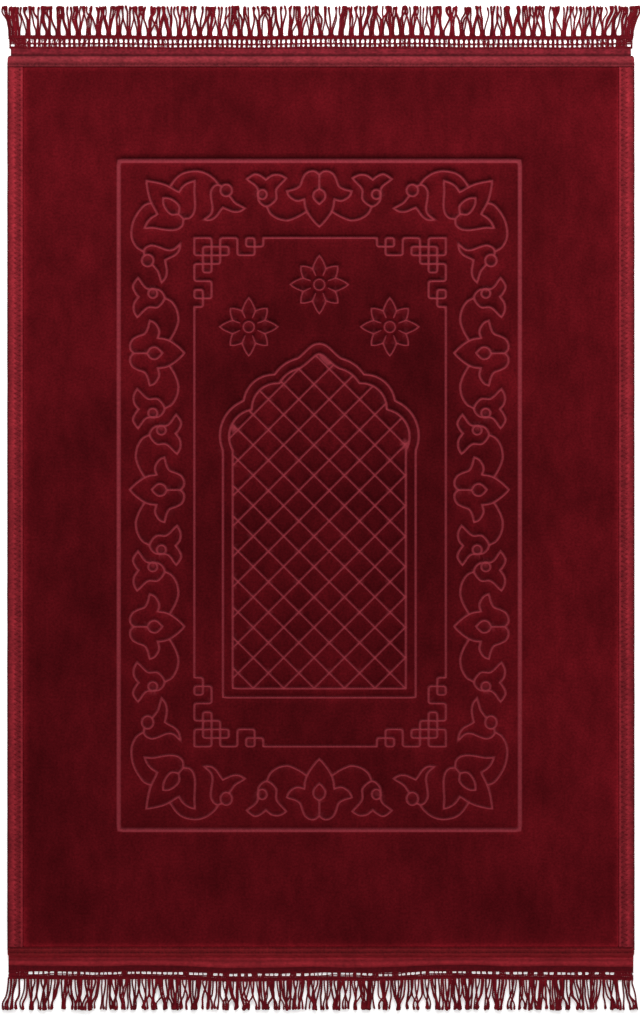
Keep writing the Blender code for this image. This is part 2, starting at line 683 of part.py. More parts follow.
def filled(outline, holes):
    """Triangles of a flat outline with holes, and where each given point went."""
    verts, edges = [], []
    for loop in (outline, *holes):
        first = len(verts)
        verts += [Vector(p) for p in loop]
        edges += [(first + i, first + (i + 1) % len(loop)) for i in range(len(loop))]
    flat, _, triangles, sources, _, _ = delaunay_2d_cdt(verts, edges, [], 1, SNAP)
    place = {source[0]: i for i, source in enumerate(sources) if source}
    kept = []
    for triangle in triangles:
        middle = sum((flat[i] for i in triangle), Vector((0, 0))) / 3
        if not any(inside(middle, hole) for hole in holes):
            kept.append(tuple(triangle))
    return flat, kept, [place[i] for i in range(len(verts))]


def fringe_holes(end):
    """The ladder's openings between cord and tape, and a larger gap in each corner of the tape."""
    holes = []
    for i in range(end.holes):
        left = (i - end.holes / 2 + 0.5) * HOLE_PITCH - HOLE_WIDTH / 2
        right = left + HOLE_WIDTH
        low, high = hem_wave(left, end), hem_wave(right, end)
        holes.append([(left, end.hole_in + low), (right, end.hole_in + high),
                      (right, end.hole_out + high), (left, end.hole_out + low)])
    if holes:
        near, far, low, high = EYELET
        for a, b in ((-far, -near), (near, far)):
            holes.append([(a, low), (b, low), (b, high), (a, high)])
    return holes


def fringe_strip(end, roots, holes):
    """Tape, ladder and header cord as one flat body, open where the locks join it. Each lock's opening
    is a triangle: two feet on the floor and a point on the cord's crest."""
    tuck = end.hem_edge - LIP + GAP
    frame = [(-CORD_HALF_WIDTH, end.hole_out), (-TRIM_HALF_WIDTH, end.tape_edge), (-TRIM_HALF_WIDTH, tuck),
             (TRIM_HALF_WIDTH, tuck), (TRIM_HALF_WIDTH, end.tape_edge), (CORD_HALF_WIDTH, end.hole_out)]
    crest = [(x, end.cord_edge + hem_wave(x, end)) for x in roots]
    feet = [(x + d, y) for x, y in crest for d in (-LOCK_WIDTHS[0] / 2, LOCK_WIDTHS[0] / 2)]
    upper, faces, upper_place = filled(frame + crest[::-1], holes)
    lower, lower_faces, lower_place = filled(frame + feet[::-1], holes)
    bottom = len(upper)
    faces += [tuple(bottom + i for i in face) for face in lower_faces]
    lower_place = [bottom + i for i in lower_place]

    frame_top, frame_low = upper_place[:len(frame)], lower_place[:len(frame)]
    crest_top = upper_place[len(frame):len(frame) + len(crest)][::-1]
    feet_low = lower_place[len(frame):len(frame) + len(feet)][::-1]
    holes_top, holes_low = upper_place[len(frame) + len(crest):], lower_place[len(frame) + len(feet):]
    verts = [(p.x, p.y, TRIM_THICKNESS) for p in upper] + [(p.x, p.y, 0.0) for p in lower]
    for i in crest_top:
        verts[i] = (*verts[i][:2], CORD_THICKNESS)

    for i in range(len(frame) - 1):
        faces.append((frame_top[i], frame_top[i + 1], frame_low[i + 1], frame_low[i]))
    for first in range(0, len(holes_top), 4):
        for i in range(first, first + 4):
            j = first + (i + 1 - first) % 4
            faces.append((holes_top[i], holes_top[j], holes_low[j], holes_low[i]))
    faces.append((frame_top[0], frame_low[0], feet_low[0], crest_top[0]))
    faces.append((frame_top[-1], frame_low[-1], feet_low[-1], crest_top[-1]))
    for i in range(len(crest) - 1):
        faces.append((crest_top[i], feet_low[2 * i + 1], feet_low[2 * i + 2], crest_top[i + 1]))
    openings = [(feet_low[2 * i], feet_low[2 * i + 1], crest_top[i]) for i in range(len(crest))]
    return verts, faces, openings


def fringe(end, material, parent):
    """The trim's strip with its locks, which lie on the floor side by side."""
    paths = locks(end)
    verts, faces, openings = fringe_strip(end, [path[0] for path in paths], fringe_holes(end))
    for (_, middle, tip, reach), section in zip(paths, openings):
        root_y = verts[section[0]][1]
        for x, y, width in ((middle, (root_y + reach) / 2, LOCK_WIDTHS[1]), (tip, reach, LOCK_WIDTHS[2])):
            first = len(verts)
            verts += [(x - width / 2, y, 0.0), (x + width / 2, y, 0.0), (x, y, LOCK_HEIGHT)]
            after = (first, first + 1, first + 2)
            faces += [(section[k - 1], section[k], after[k], after[k - 1]) for k in range(3)]
            section = after
        faces.append(section)
    verts = [(x, end.side * y, z) for x, y, z in verts]
    make_object(f"fringe_{end.name}", verts, faces, material, parent)


# ---- The rug ----------------------------------------------------------------------------------------------
def main():
    for thing in list(bpy.data.objects):
        bpy.data.objects.remove(thing, do_unlink=True)
    rug = bpy.data.objects.new("prayer_rug", None)
    bpy.context.scene.collection.objects.link(rug)

    velvet = cloth_material("velvet", (0.085, 0.004, 0.008), 0.85)
    side_tape = cloth_material("side_tape", (0.19, 0.014, 0.022), 0.7)
    hem_tape = cloth_material("hem_tape", (0.26, 0.026, 0.040), 0.65)
    yarn = cloth_material("yarn", (0.13, 0.006, 0.015), 0.8)

    rug_panel(velvet, rug)
    side_binding("side_binding_left", -1, side_tape, rug)
    side_binding("side_binding_right", 1, side_tape, rug)
    for end in ENDS:
        end_binding(end, hem_tape, rug)
        fringe(end, yarn, rug)


main()
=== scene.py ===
import math
import random
from collections import namedtuple

import bpy
import numpy as np
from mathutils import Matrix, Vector, kdtree, noise
from mathutils.geometry import (delaunay_2d_cdt, interpolate_bezier, intersect_line_line_2d,
                                intersect_line_sphere_2d)


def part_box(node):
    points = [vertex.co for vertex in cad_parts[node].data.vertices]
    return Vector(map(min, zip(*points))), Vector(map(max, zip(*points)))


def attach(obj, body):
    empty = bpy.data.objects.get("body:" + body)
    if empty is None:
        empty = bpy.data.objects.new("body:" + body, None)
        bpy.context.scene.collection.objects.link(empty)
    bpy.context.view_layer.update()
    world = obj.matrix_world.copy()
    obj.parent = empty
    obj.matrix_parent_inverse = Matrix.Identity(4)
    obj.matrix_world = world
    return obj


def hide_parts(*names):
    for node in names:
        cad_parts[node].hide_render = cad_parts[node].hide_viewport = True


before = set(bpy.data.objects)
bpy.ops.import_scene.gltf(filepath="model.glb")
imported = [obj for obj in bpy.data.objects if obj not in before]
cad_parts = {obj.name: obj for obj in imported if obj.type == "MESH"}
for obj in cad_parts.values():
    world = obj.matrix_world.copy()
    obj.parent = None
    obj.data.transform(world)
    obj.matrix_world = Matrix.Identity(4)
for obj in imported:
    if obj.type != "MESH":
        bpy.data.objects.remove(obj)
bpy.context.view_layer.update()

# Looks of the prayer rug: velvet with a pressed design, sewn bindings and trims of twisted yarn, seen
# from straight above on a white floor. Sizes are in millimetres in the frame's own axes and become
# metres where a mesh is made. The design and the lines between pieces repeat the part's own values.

MM = 0.001

# ---- The body, from the frame and the part ----
PANEL_LOW, PANEL_HIGH = (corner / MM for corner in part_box("rug_panel"))
HALF_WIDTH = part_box("side_binding_right")[1].x / MM
THICKNESS = PANEL_HIGH.z
TAPE = 1.0                  # binding tape
GAP = 0.3                   # between neighbouring pieces
PRESSED = TAPE + GAP        # how far a panel face is pressed in under a binding
SIDE_FLAP = 19.5            # width of a side binding on the face
STEP_RUN = 0.6              # width of the slope where a face or a tape is pressed in
TRIM_HALF_WIDTH = 396.0
CORD_HALF_WIDTH = 399.0

End = namedtuple("End", "name side velvet_edge hem_edge tape_edge hole_in hole_out cord_edge waves")
TOP = End("top", 1, 563.0, 577.5, 587.0, 592.8, 598.9, 603.4, ((0.5, 410.0, 0.4), (0.3, 130.0, 2.0)))
BOTTOM = End("bottom", -1, 561.0, 572.5, 584.0, 591.0, 596.5, 602.0, ((1.3, 520.0, 2.2), (0.8, 190.0, 5.3)))

# ---- The fringe, as in the part ----
FRINGE_TIPS = 641.5         # middle to the longest yarns
BUNDLES = 59
BUNDLE_PITCH = 12.9
LOCK_SPREAD = 3.9           # between the two locks of a bundle, at their roots
CORNER_LOCKS = 4
CORNER_PITCH = 4.1
CORNER_FLARE = 6.4          # how far the outermost tips lean out
LEAN_POWER = 9              # how suddenly the locks start to lean near the corners
LOCK_WIDTHS = (3.0, 2.2, 2.7)     # at the root, half way and at the tip
LOCK_CLEARANCE = 0.7
LOCK_FAN = (1.3, 2.2)       # how far each lock of a bundle spreads, half way and at the tip
LOCK_STRAY = (0.9, 1.6)     # how far either way it may wander there
LOCK_SHORTFALL = 4.0        # how much shorter than the longest one a lock may be
HOLE_PITCH = 6.3
HOLES = 120
EYELET = (391.2, 394.6, 588.6, 594.6)   # the larger gap at each end of the top trim: x, x, y, y

# ---- The pressed design, as in the part ----
PRESS_DEPTH = 1.4
FRAME_LINE = 4.4            # width of the outer rectangle's line
FINE_LINE = 2.6             # width of every other line
LATTICE_LINE = 2.3
FLOWER_LINE = 2.0
BLUR_LINE = 5.0
CURVE_STEPS = 12
ARC_STEPS = 24
CURVE_TOLERANCE = 0.1       # how far a straight piece may leave the true curve
MITRE_LIMIT = 0.12          # keeps the rim of a sharp turn from running far out
RING_SIDES = 22
SNAP = 0.05                 # points closer than this are one

DESIGN_CENTRE = (-2.0, 16.0)
OUTER_FRAME = (256.0, 427.0)            # half width and half length
INNER_FRAME = (160.5, 324.5)
INNER_SHIFT = (1.0, 4.5)
FRET_UNIT = 11.0
FRET_ROUND = 2.8                        # rounding of its corners
ROUND_HANDLE = 0.55                     # how far towards the corner the handles of that rounding reach
FRET_REACH = 8                          # units from a corner to where the plain line starts

Arch = namedtuple("Arch", "apex crown ogee scallops sill")     # a scallop is its far end and its rise
OUTER_ARCH = Arch((0, 194), ((-12, 194), (-18, 181)), (-28, 175),
                  (((-57, 154.5), 3.5), ((-96.5, 121), 10), ((-123, 58), 14.5)), -257.5)
INNER_ARCH = Arch((0, 181), ((-6, 181), (-14, 168.5)), (-25.5, 162.5),
                  (((-51, 143.5), 3.5), ((-86, 110), 11), ((-110.5, 58), 15)), -246)
LATTICE_DIAGONAL = 38.8
LATTICE_CROSSING = (-6.7, 65.0)
BLURS = (                               # where the inner arch and the lattice are pressed into one
    ((2.0, 178.5), (12.5, 168.0)), ((-111.0, 88.5), (-107.5, 83.0)), ((109.4, 68.0), (110.0, 61.0)),
)

FLOWERS = ((0, 269.5), (-90, 215.5), (90, 215.5))
PETALS = 8
FLOWER_TIPS = (37.5, 33.5)              # radius of the petals on the axes and between them
FLOWER_VALLEY = 22.0
FLOWER_SPOKE = 12.5
FLOWER_RING = 7.0
PETAL_BULGE = 1.0

END_STRETCH = ((1, 1.02), (-1, 1.11))   # each end border, and how far it is stretched along the rug
BLOOM_INSET = (82.5, 72.0)              # a corner bloom's heart, in from the outer frame's lines
BLOOM_BUD = (                           # stretches of its outline, its eye and the eye's radius
    (((37.6, 26.1), (39.4, 17.5), (37.6, 9.8), (33.4, 3.5), (29.1, -1.5)),
     ((29.1, -1.5), (34.0, -7.2), (38.6, -13.2), (40.6, -20.5), (38.7, -29.6)),
     ((38.7, -29.6), (34.2, -19.0), (27.0, -14.4), (15.0, -13.3), (5.5, -11.0), (0.0, -3.0), (5.0, 5.0),
      (21.2, 11.7), (28.5, 15.8), (37.6, 26.1))),
    (9.6, 7.9), 7.4,
)
BLOOM_STEMS = (                         # side of the bloom, route of the stem, angle of its bud
    (1, ((40.4, 16.8), (42.2, 28.5), (41.0, 38.0), (36.8, 46.0), (29.5, 54.5), (19.5, 60.4), (8.0, 62.8),
         (-1.3, 62.0)), 31.0),
    (-1, ((43.0, 15.0), (47.2, 25.0), (43.5, 45.8), (32.0, 61.8), (18.3, 67.4), (7.0, 65.0)), 20.0),
)
PALMETTE_BUD = (
    (((33.8, 23.6), (40.2, 12.6), (36.6, 3.0), (32.5, -1.3)),
     ((32.5, -1.3), (38.3, -8.2), (39.4, -18.0), (35.0, -27.7)),
     ((35.0, -27.7), (21.5, -14.9), (8.5, -14.3), (0.0, -2.5), (7.0, 7.8), (23.5, 10.0), (33.8, 23.6))),
    (15.0, 3.3), 5.8,
)
PALMETTE_SIDE_ROWS = (                  # height, direction (1 is tip in), eye to the outer frame's line
    (182.0, 1, 46.0), (7.5, -1, 52.0), (-167.0, 1, 46.0),
)
PALMETTE_END_INSET = 44.0
PALMETTE_REACH = 73.0                   # eye to the root of a bud beside it
PALMETTE_END_REACH = 69.5

Line = namedtuple("Line", "points closed width")


# ---- Curves ----
def curve(points, steps):
    """A smooth curve through points in the plane or in space, straight on at its two ends."""
    knots = [Vector(p) for p in points]
    knots = [2 * knots[0] - knots[1], *knots, 2 * knots[-1] - knots[-2]]
    route = [knots[1]]
    for before, start, stop, after in zip(knots, knots[1:], knots[2:], knots[3:]):
        handles = start + (stop - before) / 6, stop - (after - start) / 6
        route += interpolate_bezier(start, *handles, stop, steps + 1)[1:]
    return route


def pairs(spots):
    return [(spot.x, spot.y) for spot in spots]


def through(points):
    """A smooth curve of the design, with no more points than it needs."""
    return thinned(pairs(curve(points, CURVE_STEPS)))


def runs(*parts):
    """Several smooth runs, each starting at the sharp point where the one before it ends."""
    outline = []
    for part in parts:
        curve = through(part)
        outline += curve[1:] if outline else curve
    return outline


def around(centre, radius, angles):
    return [(centre[0] + radius * math.cos(t), centre[1] + radius * math.sin(t)) for t in angles]


def arc(start, stop, rise):
    """A round arc between two points, standing out to the left of the way it runs by rise."""
    a, b = Vector(start), Vector(stop)
    half = (b - a).length / 2
    left = Vector((a.y - b.y, b.x - a.x)).normalized()
    radius = (half * half + rise * rise) / (2 * rise)
    centre = (a + b) / 2 + left * (rise - radius)
    sweep = 2 * math.asin(min(1.0, half / abs(radius)))
    first = math.atan2(a.y - centre.y, a.x - centre.x)
    turn = -1 if rise > 0 else 1
    angles = [first + turn * sweep * i / ARC_STEPS for i in range(ARC_STEPS + 1)]
    return thinned(around(centre, abs(radius), angles))


def ring(centre, radius):
    return around(centre, radius, [2 * math.pi * i / RING_SIDES for i in range(RING_SIDES)])


def polar(radius, angle):
    return radius * math.cos(angle), radius * math.sin(angle)


def thinned(points):
    """The fewest of these points that stay within the curve tolerance."""
    if len(points) < 3:
        return points
    start, stop = Vector(points[0]), Vector(points[-1])
    along = stop - start
    if along.length < CURVE_TOLERANCE:
        off = [(Vector(p) - start).length for p in points]
    else:
        off = [abs(along.cross(Vector(p) - start)) / along.length for p in points]
    worst = max(range(len(points)), key=off.__getitem__)
    if off[worst] <= CURVE_TOLERANCE:
        return [points[0], points[-1]]
    return thinned(points[:worst + 1])[:-1] + thinned(points[worst:])


def mirrored(points):
    """An outline that starts and ends on its axis of symmetry, with its mirror image."""
    return points + [(a, -b) for a, b in reversed(points[1:-1])]


def placed(parts, origin, along=(1, 0), across=(0, 1)):
    """The same lines and outlines, given along two directions from an origin."""
    return [([(origin[0] + a * along[0] + b * across[0], origin[1] + a * along[1] + b * across[1])
              for a, b in points], closed) for points, closed in parts]


def rounded(points, closed):
    """A route of straight stretches with its corners made round."""
    route = []
    for i, point in enumerate(points):
        if not closed and i in (0, len(points) - 1):
            route.append(point)
            continue
        corner = Vector(point)
        start, stop = (corner + FRET_ROUND * (Vector(end) - corner).normalized()
                       for end in (points[i - 1], points[(i + 1) % len(points)]))
        handles = start.lerp(corner, ROUND_HANDLE), stop.lerp(corner, ROUND_HANDLE)
        route += pairs(interpolate_bezier(start, *handles, stop, 4))
    return route


def outside(points, centre, radius):
    """A closed outline, left open where it would run inside a circle."""
    hits = []
    for i, (a, b) in enumerate(zip(points, points[1:] + points[:1])):
        found = intersect_line_sphere_2d(Vector(a), Vector(b), Vector(centre), radius)
        hits += [(i, tuple(hit)) for hit in found if hit]
    if len(hits) != 2:
        return points, True
    (last, entry), (first, way_out) = hits
    return [way_out, *points[first + 1:], *points[:last + 1], entry], False


# ---- Motifs: each is a list of (points, closed) pairs in its own axes ----
def bud(stretches, eye, eye_radius):
    """A tulip bud. It opens along +a from its round root at the origin, with an eye at its +b side."""
    outline = runs(*stretches)
    return [outside(outline[:-1], eye, eye_radius), (ring(eye, eye_radius), True)]


def palmette(reach):
    """A palmette with its eye at the origin and its tip along +a, and on each side a stem and a bud."""
    half = runs(
        [(-26.8, 0.0), (-30.8, 4.6), (-31.4, 11.0), (-28.0, 17.6), (-21.0, 21.6), (-13.0, 24.6),
         (-8.8, 31.5), (-6.5, 41.9)],
        [(-6.5, 41.9), (-0.2, 38.6), (4.6, 31.8), (5.6, 25.5), (3.2, 19.0)],
        [(3.2, 19.0), (12.2, 18.2), (20.5, 14.9), (30.0, 8.0), (38.3, 0.0)],
    )
    eye = mirrored(runs([(-9.6, 0.0), (-5.5, 6.2), (2.0, 7.4), (10.2, 0.0)]))
    motif = [(mirrored(half), True), (eye, True), ([(-26.8, 0.0), (-9.6, 0.0)], False)]
    stem = through([(18.8, 15.8), (24.6, 25.5), (28.8, 35.3), (30.2, 0.6 * reach), (28.0, 0.76 * reach),
                    (21.5, 0.9 * reach), (12.5, reach - 2.5)])
    beside = [(stem, False), *placed(bud(*PALMETTE_BUD), (12.5, reach), (-1, 0))]
    for side in (1, -1):
        motif += placed(beside, (0, 0), (1, 0), (0, side))
    return motif


def bloom():
    """A corner bloom with its heart at the origin and its middle petal along +a. A stem with a bud runs
    along the end border on its +b side, and a wider one along the side border."""
    outline = runs(
        [(0.0, 0.0), (-4.8, 6.0), (-4.8, 13.0), (-0.5, 20.5), (7.0, 27.8), (15.2, 35.0), (23.2, 44.2)],
        [(23.2, 44.2), (27.4, 35.6), (28.8, 27.0), (27.0, 19.3)],
        [(27.0, 19.3), (39.5, 16.0), (47.5, 12.9), (54.0, 9.2), (60.0, 5.2), (67.2, 0.0)],
        [(67.2, 0.0), (60.0, -5.2), (54.0, -9.2), (47.5, -12.9), (39.5, -16.0), (27.0, -19.3)],
        [(27.0, -19.3), (29.4, -27.2), (29.4, -35.5), (26.8, -43.8)],
        [(26.8, -43.8), (19.4, -35.4), (8.5, -27.6), (0.6, -21.0), (-4.4, -13.6), (-4.8, -6.0), (0.0, 0.0)],
    )
    heart = mirrored(runs([(36.8, 0.0), (30.5, 5.2), (22.5, 7.6), (14.5, 7.0), (8.6, 0.0)]))
    motif = [(outline[:-1], True), (heart, True), ([(8.6, 0.0), (0.0, 0.0)], False)]
    for side, stem, bud_angle in BLOOM_STEMS:
        opening, outward = polar(-1, math.radians(bud_angle)), polar(1, math.radians(bud_angle + 90))
        beside = [(through(stem), False), *placed(bud(*BLOOM_BUD), stem[-1], opening, outward)]
        motif += placed(beside, (0, 0), (1, 0), (0, side))
    return motif


def flower():
    """Petals with pointed tips, those on the axes longer, round a small ring."""
    step = 2 * math.pi / PETALS
    outline, spokes = [], []
    for k in range(PETALS):
        start, stop = polar(FLOWER_VALLEY, step * (k - 0.5)), polar(FLOWER_VALLEY, step * (k + 0.5))
        tip = polar(FLOWER_TIPS[k % 2], step * k)
        outline += arc(start, tip, -PETAL_BULGE)[:-1] + arc(tip, stop, -PETAL_BULGE)[:-1]
        spokes.append(([polar(FLOWER_SPOKE, step * (k + 0.5)), stop], False))
    return [(outline, True), (ring((0, 0), FLOWER_RING), True), *spokes]


def fret():
    """The key pattern of a corner, in fret units: +a along the upper line, +b down the side line."""
    steps = [([(1, 1), (4, 1), (4, 2), (1, 2)], True), ([(1, 2), (1, 3), (3, 3), (3, 1)], False),
             ([(1, 3), (1, 4), (2, 4), (2, 1)], False)]
    arm = [([(1, 2), (0, 2), (0, 0)], False),
           ([(1, 3), (0, 3), (0, 5), (2, 5), (2, 7), (0, 7), (0, 6), (1, 6), (1, 8), (0, 8)], False)]
    turned = [([(b, a) for a, b in points], closed) for points, closed in arm]
    return steps + arm + turned


def arch_outline(arch):
    """Half of the arch as a row of curves, then its mirror image and the sill."""
    crown = interpolate_bezier(*map(Vector, (arch.apex, *arch.crown, arch.ogee)), 16)
    half, last = thinned(pairs(crown)), arch.ogee
    for cusp, rise in arch.scallops:
        half += arc(last, cusp, -rise)[1:]
        last = cusp
    half.append((last[0], arch.sill))
    return half + [(-x, y) for x, y in reversed(half[1:])]


def clipped(start, stop, outline):
    """The parts of a straight line that are inside a closed outline."""
    a, b = Vector(start), Vector(stop)
    found = [intersect_line_line_2d(a, b, Vector(c), Vector(d))
             for c, d in zip(outline, outline[1:] + outline[:1])]
    hits = sorted((hit - a).length for hit in found if hit)
    along = (b - a).normalized()
    return [([tuple(a + along * near), tuple(a + along * far)], False)
            for near, far in zip(hits[::2], hits[1::2]) if far - near > FINE_LINE]


def lattice(outline):
    """Straight lines both ways at 45 degrees, a diagonal apart, inside the inner arch."""
    reach = INNER_ARCH.apex[1] - INNER_ARCH.sill
    count = math.ceil(reach / LATTICE_DIAGONAL)
    parts = []
    for k in range(-count, count + 1):
        x, y = LATTICE_CROSSING[0] + k * LATTICE_DIAGONAL, LATTICE_CROSSING[1]
        for slope in (1, -1):
            parts += clipped((x - reach, y - slope * reach), (x + reach, y + slope * reach), outline)
    return parts


# ---- The whole design, in the rug's own axes ----
def inner_frame():
    """The inner rectangle: a key pattern in each corner and plain lines between them."""
    w, h = INNER_FRAME
    x, y = INNER_SHIFT
    parts = []
    for sx, sy in ((-1, -1), (-1, 1), (1, -1), (1, 1)):
        routes = placed(fret(), (x + sx * w, y + sy * h), (-sx * FRET_UNIT, 0), (0, -sy * FRET_UNIT))
        parts += [(rounded(route, closed), closed) for route, closed in routes]
    plain_w, plain_h = w - FRET_REACH * FRET_UNIT, h - FRET_REACH * FRET_UNIT
    for s in (-1, 1):
        parts.append(([(x + s * w, y - plain_h), (x + s * w, y + plain_h)], False))
        parts.append(([(x - plain_w, y + s * h), (x + plain_w, y + s * h)], False))
    return parts


def end_border(s, stretch):
    """The palmette and the two corner blooms of one end, stretched away from the outer frame's line."""
    w, h = OUTER_FRAME
    r = math.sqrt(0.5)
    parts = placed(palmette(PALMETTE_END_REACH), (0, s * (h - PALMETTE_END_INSET)), (0, -s), (1, 0))
    for side in (-1, 1):
        heart = (side * (w - BLOOM_INSET[0]), s * (h - BLOOM_INSET[1]))
        parts += placed(bloom(), heart, (side * r, s * r), (-side * r, s * r))
    return [([(x, s * h + (y - s * h) * stretch) for x, y in points], closed) for points, closed in parts]


def side_border(s):
    parts = []
    for y, way, inset in PALMETTE_SIDE_ROWS:
        parts += placed(palmette(PALMETTE_REACH), (s * (OUTER_FRAME[0] - inset), y), (-s * way, 0))
    return parts


def lines_of(parts, width):
    """Pressed lines of the design, moved to their place on the rug."""
    return [Line(points, closed, width) for points, closed in placed(parts, DESIGN_CENTRE)]


def design():
    w, h = OUTER_FRAME
    inner_arch = arch_outline(INNER_ARCH)
    arches = [(arch_outline(OUTER_ARCH), True), (inner_arch, True)]
    lines = lines_of([([(-w, -h), (w, -h), (w, h), (-w, h)], True)], FRAME_LINE)
    lines += lines_of(inner_frame() + arches, FINE_LINE)
    lines += lines_of(lattice(inner_arch), LATTICE_LINE)
    for centre in FLOWERS:
        lines += lines_of(placed(flower(), centre), FLOWER_LINE)
    for s, stretch in END_STRETCH:
        lines += lines_of(end_border(s, stretch) + side_border(s), FINE_LINE)
    return lines


def rims(line):
    """The two outlines beside a line, or the one round it where it has ends."""
    points = [Vector(p) for p in line.points]
    half, count = line.width / 2, len(line.points)
    sides = ([], [])
    for i, point in enumerate(points):
        before = points[i - 1] if line.closed or i else None
        after = points[(i + 1) % count] if line.closed or i < count - 1 else None
        way_in = (point - before).normalized() if before else (after - point).normalized()
        way_out = (after - point).normalized() if after else way_in
        left_in, left_out = Vector((-way_in.y, way_in.x)), Vector((-way_out.y, way_out.x))
        mitre = (left_in + left_out) / max(MITRE_LIMIT, 1 + left_in.dot(left_out))
        tail = (way_out * -half if before is None else way_in * half if after is None else Vector((0, 0)))
        sides[0].append(point + tail + mitre * half)
        sides[1].append(point + tail - mitre * half)
    if line.closed:
        return list(sides)
    return [sides[0] + sides[1][::-1]]


# ---- Meshes ----
SHARP_ANGLE = 50            # degrees


def linked(name, data):
    """A new object in the scene."""
    made = bpy.data.objects.new(name, data)
    bpy.context.scene.collection.objects.link(made)
    return made


def finished(name, mesh, material):
    """An object of the rug from a mesh in millimetres, on its one body."""
    scaled = np.empty(3 * len(mesh.vertices), np.float32)
    mesh.vertices.foreach_get("co", scaled)
    mesh.vertices.foreach_set("co", scaled * MM)
    mesh.materials.append(material)
    mesh.shade_smooth()
    mesh.set_sharp_from_angle(angle=math.radians(SHARP_ANGLE))
    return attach(linked(name, mesh), "root")


def give(mesh, name, values):
    """A number for each vertex, which the material reads by name."""
    mesh.attributes.new(name, "FLOAT", "POINT").data.foreach_set("value", np.asarray(values, np.float32))


def uneven(x, y, lumps, seed=0.0):
    """Smooth noise whose lumps have about this height and size."""
    height, size = lumps
    return height * noise.noise(Vector((x / size, y / size, seed)))


# ---- The velvet panel ----
LINE_STEP = 6.0             # longest stretch along a pressed line
LINE_ROWS = (0.4, 0.85, 1.1, 1.5)     # rows of points beside a line, as shares of its half width
ROW_SHARE = 0.9             # a row nearer to a line than this share of its own distance is dropped
PRESS_PROFILE = ((0.0, 0.4, 0.85, 1.1, 1.5), (1.0, 0.97, 0.45, 0.12, 0.0))
PRESSED_COLOUR = ((0.0, 0.8, 1.1, 1.5), (1.0, 1.0, 0.55, 0.0))
CROSSED = ((1.1, 1.7), (0.8, 1.0))     # pull of the lines at a place, and how rosy they are there
SAMPLE_STEP = 0.35          # between the points that stand for a line when distances are measured
PULL_RUN = 0.9              # half widths: how softly lines that meet flow together
PULL_REACH = 2.4            # half widths: where a line stops counting
GRID_STEP = 6.2
GRID_ROW = 0.87             # height of its triangles as a share of their sides
GRID_CLEARANCE = 2.2        # from a grid point to the last row beside a line
PUFF = ((-560.0, 560.0), (0.25, 1.0))   # how far the padding sinks towards a line, along the rug
PUFF_RUN = 2.6              # how far from the line that reaches
ROLL = 0.3                  # how far it sinks towards a binding
ROLL_RUN = 4.0
PAINTED_SHADE_ABOVE_LINE = ((-330.0, 430.0), (0.12, 0.74))   # painted shade, along the rug: how much darker the pile is just above a line
PAINTED_SHADE_ABOVE_LINE_RUN = 1.9
PAINTED_LIGHT_BELOW_LINE = 0.16                  # painted light: how much lighter it is just below a line
# How much lighter the pile is beside a binding, along the rug: brushed-up pile with a painted sheen on it
BRUSHED_SHEEN = ((-560.0, -500.0, 500.0, 560.0), (0.9, 0.6, 0.5, 0.12))
BRUSHED_SHEEN_RUN = 3.2
EDGE_LIGHT = 0.9            # and a painted highlight at its very edge
PAINTED_HOLLOW_SHADE = (0.3, 190.0, 330.0)            # painted shade: how much darker the middle lies, and its half width and half length
PILE_AND_LIGHT_PATCHES = (                 # pile laid another way, with painted light and shade: x, y, reach both ways, how much lighter
    (-345.0, -40.0, 150.0, 250.0, -0.14), (345.0, -300.0, 130.0, 220.0, 0.2),
    (130.0, -60.0, 110.0, 180.0, -0.14), (-330.0, -380.0, 120.0, 200.0, -0.08),
    (0.0, 585.0, 700.0, 60.0, -0.19), (0.0, 10.0, 400.0, 90.0, -0.08),
    (320.0, 150.0, 70.0, 200.0, 0.14), (-20.0, 400.0, 260.0, 60.0, 0.06),
    (0.0, -195.0, 230.0, 100.0, 0.24), (-200.0, 0.0, 40.0, 420.0, 0.1),
    (283.0, -30.0, 40.0, 300.0, -0.13), (-350.0, -330.0, 70.0, 160.0, -0.1),
    (365.0, 40.0, 34.0, 170.0, -0.17), (-284.0, -150.0, 34.0, 170.0, -0.15),
    (139.0, 250.0, 30.0, 120.0, -0.14), (139.0, -75.0, 30.0, 80.0, -0.2),
    (30.0, 70.0, 75.0, 70.0, 0.15), (-75.0, 90.0, 35.0, 75.0, 0.17), (-75.0, -110.0, 60.0, 60.0, 0.12),
    (-315.0, 440.0, 60.0, 70.0, 0.12), (40.0, -560.0, 60.0, 300.0, -0.05),
)
LUMPS = ((0.16, 70.0), (0.07, 17.0))    # unevenness of the pile: heights and sizes
SIDE_STEP = HALF_WIDTH - SIDE_FLAP - GAP
LOW_STEP, HIGH_STEP = -BOTTOM.velvet_edge + 2 * GAP, TOP.velvet_edge - 2 * GAP
# Where the panel ends, and where its faces' steps under the bindings start and stop
XS = (PANEL_LOW.x, -SIDE_STEP, -SIDE_STEP + STEP_RUN, SIDE_STEP - STEP_RUN, SIDE_STEP, PANEL_HIGH.x)
YS = (PANEL_LOW.y, LOW_STEP, LOW_STEP + STEP_RUN, HIGH_STEP - STEP_RUN, HIGH_STEP, PANEL_HIGH.y)


def divided(points, closed, step):
    """The same route with no stretch longer than step."""
    route = []
    ends = points[1:] + points[:1] if closed else points[1:]
    for a, b in zip(points, ends):
        start, stop = Vector(a), Vector(b)
        count = max(1, math.ceil((stop - start).length / step))
        route += [tuple(start.lerp(stop, i / count)) for i in range(count)]
    return route if closed else route + [points[-1]]


